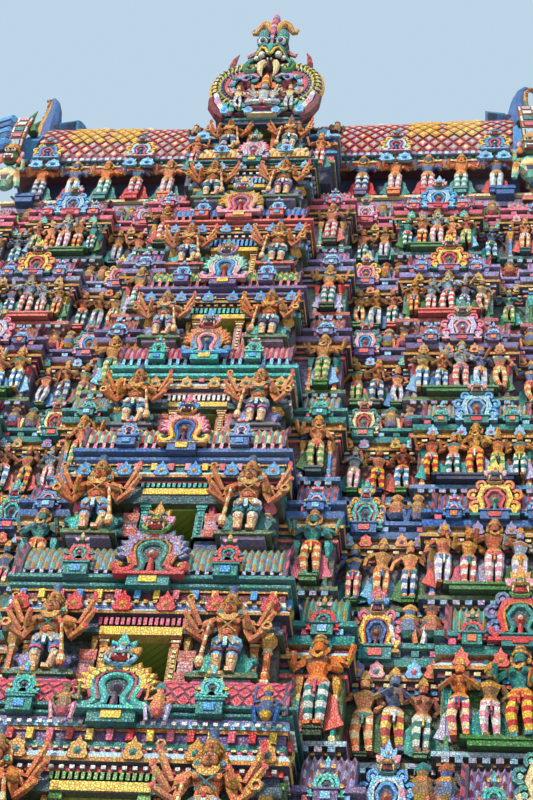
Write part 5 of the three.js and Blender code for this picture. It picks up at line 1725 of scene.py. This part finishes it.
def buildRoofGables():
    # horseshoe gables and lotus petals on the eave, and the domes along the ridge
    copies = []
    roofFace = dict(faces["lotus"], horn="teal", face="green", crest="teal", rim="azure", core="blue")
    for i, x in enumerate((4.0, 7.0)):
        look = dict(roofFace, ringA="azure", foot="sky") if i else dict(roofFace, ringA="ice")
        copies.append((horseshoes[2], at(x, -2.75, 46.72, 0, 0.84, 0.86), look))
        for off in (-0.27, 0.27):
            copies.append((petal, at(x + off, -2.72, 46.26, 0, 0.36, 0.48),
                           {"petal": "sky", "core": "azure"}))
    copies = everyQuarter(copies)
    copies += bothEnds([(horseshoes[1], towardsEnd @ at(0, -8.3, 46.7, 0, 0.8, 0.8), faces["sky"])])

    def dome(bm):
        turned(bm, ["rose", "gold", "cream", "cream", "cream", "cream", "gold", "gold"],
               [(0.30, -0.25), (0.42, 0.10), (0.36, 0.50), (0.40, 0.66), (0.36, 0.90), (0.24, 1.08),
                (0.06, 1.16), (0.10, 1.24), (0.01, 1.38)], sides=10)
        for i in range(9):
            leaf(bm, "bronze" if i % 2 else "ochre", (0, 0.62), 0.16, 0.34, 0.17, 4 + 21.5 * i, 0.06, -0.06)

    def crest(bm):
        for side in (-1, 1):
            slab(bm, "maroon", (0, -0.34, 50.20), (side * 7.5, 0.34, 50.42))
        for i in range(38):
            x = -7.4 + 0.4 * i
            z = 50.36 + roof["saddle"] * (x / roof["halfLength"]) ** 2
            slab(bm, "rose", (x - 0.16, -0.30, z - 0.1), (x + 0.16, 0.30, z + 0.12))
            orb(bm, "coral", (x, -0.24, z + 0.14), (0.10, 0.10, 0.12), 5, 3)

    shape = shapeOf(dome)
    for i in range(roof["finials"]):
        x = (i - (roof["finials"] - 1) / 2) * roof["finialSpacing"]
        copies.append((shape, at(x, 0, roof["top"] + roof["saddle"] * (x / roof["halfLength"]) ** 2), {}))
    copies.append((shapeOf(crest), front, {}))
    addPiece("roof_ridge", copies, paintedStucco, "gold_stucco", "roof_ridge_crest")


# One end of the roof. The outlines are across and height, and the paths are out from the middle and height.
roofEnd = {"gable": [(2.45, 47.05), (2.6, 47.45), (2.5, 47.95), (2.32, 48.4), (2.05, 48.85), (1.75, 49.3),
                     (1.4, 49.7), (0.9, 50.1), (0.3, 50.42)],
           "arch": [(2.78, 46.90), (2.98, 47.42), (3.04, 47.95), (2.98, 48.48)],
           "horn": [(7.64, 49.2), (7.66, 50.1), (7.70, 50.9), (7.80, 51.5), (7.94, 51.86), (8.10, 52.0),
                    (8.26, 51.98)], "hornWidth": [0.34, 0.31, 0.22, 0.14, 0.09, 0.06, 0.01],
           "beads": [(8.02, 49.3), (7.98, 50.1), (7.90, 50.9), (7.92, 51.45), (8.0, 51.75), (8.12, 51.92)],
           "hornAcross": [1.5, 1.5, 1.47, 1.40, 1.3, 1.16, 1.0]}


def archPanels(bm):
    # the flared edge of the great horseshoe, a curved strip of framed panels that faces the tower's front
    tints = ["turquoise", "ice", "rose", "teal", "white", "pink"]
    for side in (-1, 1):
        corners = [Vector((side * x, 0.12 * (z - 46.9) - 8.12, z)) for x, z in roofEnd["arch"]]
        for i, (foot, head) in enumerate(zip(corners, corners[1:])):
            for j in range(2):
                low, high = foot.lerp(head, j / 2 + 0.02), foot.lerp(head, j / 2 + 0.48)
                up = (high - low).normalized()
                turn = Matrix((up.cross(Vector((0, 1, 0))), (0, 1, 0), up)).transposed().to_4x4()
                for part, thick, wide, short in (("maroon", 0.10, 0.52, 1.04),
                                                 (("orange", "white")[j], 0.14, 0.46, 0.96),
                                                 ("black", 0.16, 0.33, 0.78),
                                                 (tints[(2 * i + j) % 6], 0.20, 0.26, 0.64)):
                    size = scaled(thick, wide, (high - low).length * short)
                    place = Matrix.Translation((low + high) / 2) @ turn @ size
                    bmesh.ops.create_cube(bm, size=1, matrix=place)
                    paintNew(bm, part)
        for i in range(6):        # the ribbed blue shell beyond it
            z = 47.05 + 0.23 * i
            tube(bm, ("blue", "azure")[i % 2],
                 mirrored(side, [(2.75, -8.05, z), (2.98, -8.4, z + 0.07 * i - 0.1),
                                 (2.90, -8.8, z + 0.08 * i - 0.2), (2.45, -9.05, z + 0.06 * i - 0.3)]),
                 [0.15, 0.20, 0.18, 0.05], 7)
        for x, out, z, tall in ((2.45, 8.0, 48.62, 1.05), (2.45, 7.80, 48.42, 0.7), (2.75, 8.1, 48.4, 0.5)):
            tube(bm, "green", [(side * x, -out, z), (side * x, -out - 0.04, z + 0.45 * tall),
                               (side * x, -out + 0.12, z + tall)], [0.17, 0.13, 0.01], 6)


def roofHorns(bm):
    half = roofEnd["gable"]
    plate(bm, "azure", bothHalves(half), -7.55, -8.05, ("blue", 0.3, -0.12))
    for side in (-1, 1):
        across = [side * x for x in roofEnd["hornAcross"]]
        tube(bm, "blue", [(x, -out, z) for x, (out, z) in zip(across, roofEnd["horn"])],
             roofEnd["hornWidth"], 9)
        beads = [Vector((x, -out, z)) for x, (out, z) in zip(across, roofEnd["beads"])]
        tube(bm, "gold", beads, [0.16, 0.15, 0.13, 0.10, 0.07, 0.02], 6)
        for start, stop in zip(beads, beads[1:]):
            for share in (0.15, 0.5, 0.85):
                place = start.lerp(stop, share) + Vector((side * 0.08, -0.07, 0))
                orb(bm, "brown" if share == 0.5 else "ochre", place, (0.06, 0.06, 0.06), 5, 3)


def roofHood(bm):
    # a hood on top of the barrel roof, open towards the front
    for part, inner, outer, x0, x1 in (("azure", 0.95, 1.13, 6.66, 7.30), ("navy", 0.88, 1.11, 6.74, 7.48)):
        face = faceFrom(bm, [(x0, -inner, 0), (x0, -outer, 0), (x1, 0.03 - outer, 0), (x1, -inner, 0)])
        rotated(bm, -47, face.verts)
        spun(bm, face, -86, 10)
        paintNew(bm, part)


def buildRoofEnds():
    collar = moved(0, 0, roof["foot"] + 0.12) @ scaled(1, roof["halfDepth"], roof["rise"])
    mask = moved(0, -8.0, 46.9) @ scaled(4.0, 2.0, 2.75)
    copies = bothEnds(placed(towardsEnd, once(archPanels) + once(roofHorns))
                      + placed(collar, once(roofHood))
                      + [(horseshoes[3], towardsEnd @ mask, faces["blue"])])
    addPiece("roof_ends", copies, paintedStucco, "blue_stucco", "roof_gable_left", "roof_gable_right",
             "roof_gable_face_left", "roof_gable_face_right")


def buildDormer():
    # a short barrel roof that runs back from each crown into the main roof
    def body(bm):
        for colour, half, z0, z1 in (("navy", 1.40, 46.80, 46.90), ("pink", 1.50, 46.90, 46.98),
                                     ("azure", 1.42, 46.98, 47.2)):
            slab(bm, colour, (-half, -2.65 - half, z0), (half, -1.0, z1))

    def arch(bm):
        arcBand(bm, "maroon", (0, 0), 0.02, 1.0, 2.85, 0.0, 0, 180, 14)
        for i in range(9):
            arcBand(bm, "rose" if i % 2 else "gold", (0, 0), 0.9, 1.05, 0.24 + 0.3 * i, 0.10 + 0.3 * i, 0,
                    180, 14)

    place = moved(0, -3.90, 47.18) @ scaled(1.3, 1, 2.3)
    addPiece("roof_dormers", frontAndBack(once(body) + placed(place, once(arch))), paintedStucco,
             "rose_stucco", "roof_dormer_front", "roof_dormer_back")


def crownMask(bm):
    # the lion mask, its crest and horns; x and z are the tower's, and y is counted from the crown's back
    orb(bm, "teal", (0, -0.04, 50.42), (0.54, 0.32, 0.55), 12, 8)
    orb(bm, "maroon", (0, -0.08, 49.42), (0.56, 0.26, 0.34), 12, 6)
    limb(bm, ["rose", "purple", "pink", "maroon", "rose"],
         [(-0.01, -0.40, 50.2), (-0.02, -0.40, 50.7), (-0.03, -0.34, 51.2),
          (-0.02, -0.24, 51.72), (-0.04, -0.14, 52.1)], [0.06, 0.10, 0.14, 0.16, 0.11], 8, 4)
    tube(bm, "turquoise", [(0, -0.36, 50.25), (0, -0.50, 49.98), (0, -0.56, 49.76), (0, -0.50, 49.46)],
         [0.05, 0.10, 0.12, 0.05], 7)
    for side in (-1, 1):
        # brow
        tube(bm, "teal", mirrored(side, [(0.33, -0.26, 50.50), (0.33, -0.28, 50.62), (0.33, -0.28, 50.86),
                                         (0.33, -0.28, 50.98)]), [0.22, 0.24, 0.23, 0.15], 12)
        arcBand(bm, "turquoise", (side * 0.33, 50.30), 0.20, 0.25, -0.30, -0.47, 20, 160, 8)
        orb(bm, "black", (side * 0.33, -0.38, 50.26), (0.22, 0.16, 0.23), 12, 7)
        orb(bm, "white", (side * 0.33, -0.44, 50.24), (0.185, 0.16, 0.19), 12, 7)
        orb(bm, "navy", (side * 0.32, -0.56, 50.20), (0.105, 0.06, 0.115), 10, 6)
        # a small white dot on each pupil: a painted highlight
        orb(bm, "white", (side * 0.36, -0.62, 50.22), (0.025, 0.02, 0.025), 5, 3)
        tube(bm, "gold", mirrored(side, [(0.10, -0.30, 50.80),
                                         (0.13, -0.32, 51.04), (0.21, -0.32, 51.26), (0.34, -0.30, 51.40),
                                         (0.48, -0.27, 51.36), (0.59, -0.24, 51.20), (0.68, -0.21, 51.06),
                                         (0.78, -0.2, 51.08), (0.83, -0.2, 51.22), (0.77, -0.2, 51.33)]),
             [0.06, 0.12, 0.16, 0.17, 0.15, 0.12, 0.09, 0.07, 0.05, 0.015], 8)
        # upper lip
        tube(bm, "teal", mirrored(side, [(0.04, -0.46, 49.86), (0.20, -0.46, 49.94), (0.40, -0.36, 49.84),
                                         (0.60, -0.2, 49.62)]), [0.12, 0.15, 0.14, 0.05], 7)
        tube(bm, "yellow", mirrored(side, [(0, -0.60, 49.40), (0.08, -0.58, 49.46), (0.16, -0.56, 49.72),
                                           (0.30, -0.52, 49.82), (0.44, -0.42, 49.70),
                                           (0.60, -0.24, 49.50)]), [0.05, 0.05, 0.05, 0.05, 0.05, 0.02], 6)
        orb(bm, "white", (side * 0.29, -0.42, 49.56), (0.14, 0.12, 0.14), 8, 6)
        orb(bm, "white", (side * 0.48, -0.32, 49.50), (0.11, 0.10, 0.10), 7, 5)
        orb(bm, "white", (side * 0.06, -0.42, 49.34), (0.05, 0.05, 0.06), 5, 4)
        tube(bm, "cream", mirrored(side, [(0.20, -0.30, 49.28), (0.30, -0.40, 49.0), (0.28, -0.38, 48.7),
                                          (0.20, -0.34, 48.5)]), [0.13, 0.13, 0.09, 0.02], 7)
        tube(bm, "green",
             mirrored(side, [(0.52, -0.2, 49.62), (0.74, -0.2, 49.44), (0.88, -0.22, 49.12),
                             (0.78, -0.26, 48.84), (0.54, -0.28, 48.82), (0.46, -0.28, 49.02),
                             (0.58, -0.3, 49.12)]), [0.08, 0.13, 0.15, 0.14, 0.11, 0.07, 0.03], 7)
        tube(bm, "teal", mirrored(side, [(0.60, -0.34, 49.42), (0.76, -0.36, 49.22), (0.72, -0.38, 48.98)]),
             [0.03, 0.07, 0.03], 5)
        tube(bm, "pink", mirrored(side, [(0.55, -0.14, 50.1), (0.70, -0.14, 49.96), (0.86, -0.14, 49.86),
                                         (0.92, -0.14, 49.98)]), [0.08, 0.09, 0.07, 0.02], 6)
        limb(bm, ["red", "maroon"],
             mirrored(side, [(1.34, -0.02, 49.1), (1.40, -0.02, 49.55),
                             (1.34, -0.02, 49.9), (1.22, -0.02, 50.2)]), [0.14, 0.12, 0.08, 0.01], 6, 2)
    for i in range(9):
        leaf(bm, "green" if i % 2 else "teal", (0, 49.1), 0.5, 0.16, 0.14, 200 + 17.5 * i, -0.1, -0.24)


def crownFans(bm):
    # feathers, rings and curls on both sides, and the curved arms under them
    for side in (-1, 1):
        centre = Vector((side * 0.66, 0, 48.15))

        def around(radius, y, degrees):
            turn = math.radians(degrees)
            return centre + Vector((side * radius * math.cos(turn), y, 1.16 * radius * math.sin(turn)))

        def ring(part, radius, width, y, start, stop, steps):
            tube(bm, part, [around(radius, y, degrees) for degrees in np.linspace(start, stop, steps)],
                 [width] * steps, 6)

        for i in range(19):
            turn = -60 + 9.8 * i
            path = [around(0.56 + 0.50 * share, -0.12 - 0.15 * math.sin(share * 3.0),
                           turn - 16 * (1 - share) ** 2) for share in (0, 0.25, 0.5, 0.75, 1)]
            tube(bm, "cream" if i % 2 else "yellow", path, [0.045, 0.055, 0.07, 0.08, 0.04], 5)
            for share, part in ((0.3, "blue"), (0.62, "green"), (0.95, "deepTeal")):
                orb(bm, part, around(0.58 + 0.46 * share, -0.17 - 0.14 * math.sin(share * 3.0), turn + 4.9),
                    (0.05, 0.06, 0.07), 5, 3)
        ring("gold", 1.06, 0.085, -0.08, -62, 118, 18)
        ring("rose", 0.56, 0.085, -0.24, -70, 140, 16)
        ring("pink", 0.46, 0.05, -0.28, -70, 150, 14)
        ring("maroon", 0.25, 0.24, -0.02, -90, 250, 14)
        ring("sky", 0.38, 0.06, -0.28, -50, 120, 10)
        curl = [(-0.42, 0.30), (-0.2, 0.46), (0.05, 0.42), (0.12, 0.24), (-0.02, 0.16), (-0.12, 0.26)]
        tube(bm, "lilac", [centre + Vector((side * x, -0.34, z)) for x, z in curl],
             [0.03, 0.05, 0.06, 0.05, 0.04, 0.02], 6)
        for x, z, turn in ((0.26, 0.24, 30), (0.30, -0.05, -20), (-0.2, 0.10, 160)):
            leaf(bm, "teal", (centre.x + side * x, centre.z + z), 0.0, 0.24, 0.16, 90 - side * (90 - turn),
                 -0.24, -0.36)
        low = [(1.12, -0.10, 46.66), (1.36, -0.12, 46.84), (1.56, -0.14, 47.18), (1.63, -0.14, 47.58),
               (1.52, -0.14, 47.92)]
        tube(bm, "maroon", [(side * x, y, z) for x, y, z in low], [0.22, 0.21, 0.18, 0.13, 0.02], 8)
        limb(bm, ["pink", "lilac", "white"], [(side * (x - 0.14), y - 0.14, z + 0.08) for x, y, z in low],
             [0.10, 0.12, 0.11, 0.08, 0.02], 6, 2)
        for x, z, turn in ((0.50, 46.98, 70), (0.80, 46.96, 45), (1.1, 46.9, 25)):
            leaf(bm, "teal", (side * x, z), 0.0, 0.42, 0.2, 90 - side * turn, -0.2, -0.34,
                 ("turquoise", 0.03, 0.02))
        for x in (0.42, 1.15):
            leaf(bm, "sky", (side * x, 46.62), 0.0, 0.36, 0.30, 90, -0.24, -0.36, ("azure", 0.05, 0.03))


def crownSeat(bm):
    # a many-armed figure seated in the middle
    slab(bm, "purple", (-0.40, -0.30, 46.66), (0.40, -0.1, 46.84))
    slab(bm, "cream", (-0.46, -0.34, 46.60), (0.46, -0.1, 46.67))
    slab(bm, "rose", (-0.44, -0.38, 46.84), (0.44, -0.1, 46.92))
    slab(bm, "teal", (-1.2, -0.16, 46.52), (1.2, -0.02, 46.62))
    slab(bm, "navy", (-1.25, -0.12, 46.35), (1.25, -0.02, 46.52))
    for side in (-1, 1):
        limb(bm, ["silver", "white"], mirrored(side, [(0.10, -0.30, 47.08), (0.44, -0.42, 47.05),
                                                      (0.06, -0.52, 46.96)]), [0.15, 0.12, 0.07], 6, 2)
        for up, out in ((0.32, 0.40), (0.10, 0.50), (-0.14, 0.46), (-0.36, 0.36)):
            limb(bm, ["silver", "gold", "silver"],
                 [(side * 0.16, -0.32, 47.62), (side * (0.16 + out * 0.4), -0.36, 47.5 + up * 0.5),
                  (side * out, -0.42, 47.62 + up)], [0.08, 0.06, 0.04], 5, 3)
        for i in range(4):
            leaf(bm, "pink" if i % 2 else "rose", (side * 0.25, 47.62), 0.16, 0.30, 0.13,
                 90 - side * (30 + 28 * i), -0.14, -0.24)
    turned(bm, ["red", "gold", "silver", "silver", "silver"],
           [(0.22, 46.98), (0.22, 47.12), (0.17, 47.22), (0.18, 47.42), (0.22, 47.64), (0.06, 47.76)],
           (0, -0.32, 0), 8, 0.7)
    orb(bm, "silver", (0, -0.38, 47.86), (0.12, 0.13, 0.14), 8, 6)
    disc(bm, "gold", (0, 47.95), 0.24, -0.16, -0.24, 12)
    turned(bm, ["orange", "yellow", "orange", "yellow", "red"],
           [(0.13, 47.94), (0.17, 48.02), (0.13, 48.14), (0.14, 48.28), (0.09, 48.44), (0.01, 48.66)],
           (0, -0.36, 0), 8)
    for turn in (15, 45, 75, 105, 135, 165):
        leaf(bm, "orange" if turn % 2 else "yellow", (0, 48.0), 0.16, 0.36, 0.16, turn, -0.16, -0.28)


def buildCrown():
    def backing(bm):
        half = [(1.1, 46.80), (1.4, 47.2), (1.50, 48.2), (1.36, 49.0), (1.0, 49.42), (0.62, 49.6),
                (0.50, 50.4), (0.42, 50.85), (0.1, 51.0)]
        plate(bm, "maroon", bothHalves(half), 0.30, -0.10)

    place = moved(0, -4.04, 0)
    copies = placed(place, once(backing) + once(crownFans) + once(crownSeat))
    copies += placed(place @ scaled(0.88, 1, 1), once(crownMask))
    helper = {"skin": "cream", "legA": "white", "legB": "lilac", "cloth": "teal", "belt": "white",
              "fin": "turquoise", "crown": "tan", "gold": "gold"}
    copies += [(people[number], at(x, -4.40, 46.78, 0, 1.22), helper)
               for number, x in ((3, -0.80), (8, 0.80))]
    addPiece("roof_crowns", frontAndBack(copies), paintedStucco, "teal_stucco", "roof_crown_front",
             "roof_crown_back")


for build in (buildLattice, buildNeck, buildRoofFigures, buildRoofGables, buildRoofEnds, buildDormer,
              buildCrown):
    build()
print("roof made", totalTriangles)


# CAD nodes that stay get a finished material.
def paintNode(material, *names):
    for name in names:
        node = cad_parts[name]
        node.data.materials.clear()
        node.data.materials.append(material)


paintNode(weatheredGranite, "gateway_floor", "base_plinth_left", "base_plinth_right", "base_wall_left",
          "base_wall_right", "gateway_lintel", "base_cornice")
paintNode(stuccoMaterial("roof_red_stucco", stucco, "maroon"), "roof_vault")


# Camera, floor and light.
view = {"place": (3.859, -18.375, 0.8), "yaw": 0.1937663, "pitch": 0.7803707, "roll": 0.1361640,
        "lens": 82.18, "floor": 120.0, "floorLight": (0.84, 0.84, 0.83, 1),
        "floorDark": (0.80, 0.80, 0.79, 1), "floorRoughness": 0.9, "sky": 0.80,
        "skyColour": (0.64, 0.84, 1.0, 1), "sun": 4.9, "sunSize": 8.0, "sunTurn": (50.0, 0.0, -26.0),
        "sunColour": (1.0, 0.96, 0.90)}


def addCamera():
    data = bpy.data.cameras.new("camera")
    data.lens, data.sensor_width, data.clip_end = view["lens"], 36.0, 500.0
    camera = bpy.data.objects.new("camera", data)
    bpy.context.scene.collection.objects.link(camera)
    yaw, pitch, roll = view["yaw"], view["pitch"], view["roll"]
    forward = Vector((-math.sin(yaw) * math.cos(pitch), math.cos(yaw) * math.cos(pitch), math.sin(pitch)))
    right = Vector((math.cos(yaw), math.sin(yaw), 0))
    up = right.cross(forward)
    x = math.cos(roll) * right + math.sin(roll) * up
    y = math.cos(roll) * up - math.sin(roll) * right
    turn = Matrix((x, y, -forward)).transposed().to_4x4()
    camera.matrix_world = Matrix.Translation(view["place"]) @ turn
    bpy.context.scene.camera = camera


def addFloor():
    mesh = bpy.data.meshes.new("studio_floor")
    bm = bmesh.new()
    bmesh.ops.create_grid(bm, x_segments=4, y_segments=4, size=view["floor"])
    bm.to_mesh(mesh)
    bm.free()
    nodes = Nodes("studio_floor")
    nodes.fill(nodes.shader,
               {"Base Color": nodes.mix(nodes.noise(0.05), view["floorDark"], view["floorLight"]),
                "Roughness": view["floorRoughness"]})
    mesh.materials.append(nodes.material)
    floor = bpy.data.objects.new("studio_floor", mesh)
    bpy.context.scene.collection.objects.link(floor)


def addLight():
    scene = bpy.context.scene
    scene.world = bpy.data.worlds.new("studio")
    scene.world.use_nodes = True
    background = scene.world.node_tree.nodes["Background"].inputs
    background["Color"].default_value, background["Strength"].default_value = view["skyColour"], view["sky"]
    data = bpy.data.lights.new("soft_sun", "SUN")
    data.energy, data.angle, data.color = view["sun"], math.radians(view["sunSize"]), view["sunColour"]
    sun = bpy.data.objects.new("soft_sun", data)
    sun.rotation_euler = [math.radians(turn) for turn in view["sunTurn"]]
    scene.collection.objects.link(sun)


addCamera()
addFloor()
addLight()
bpy.context.scene.view_settings.view_transform = "Standard"
print("added in all", totalTriangles, "triangles")
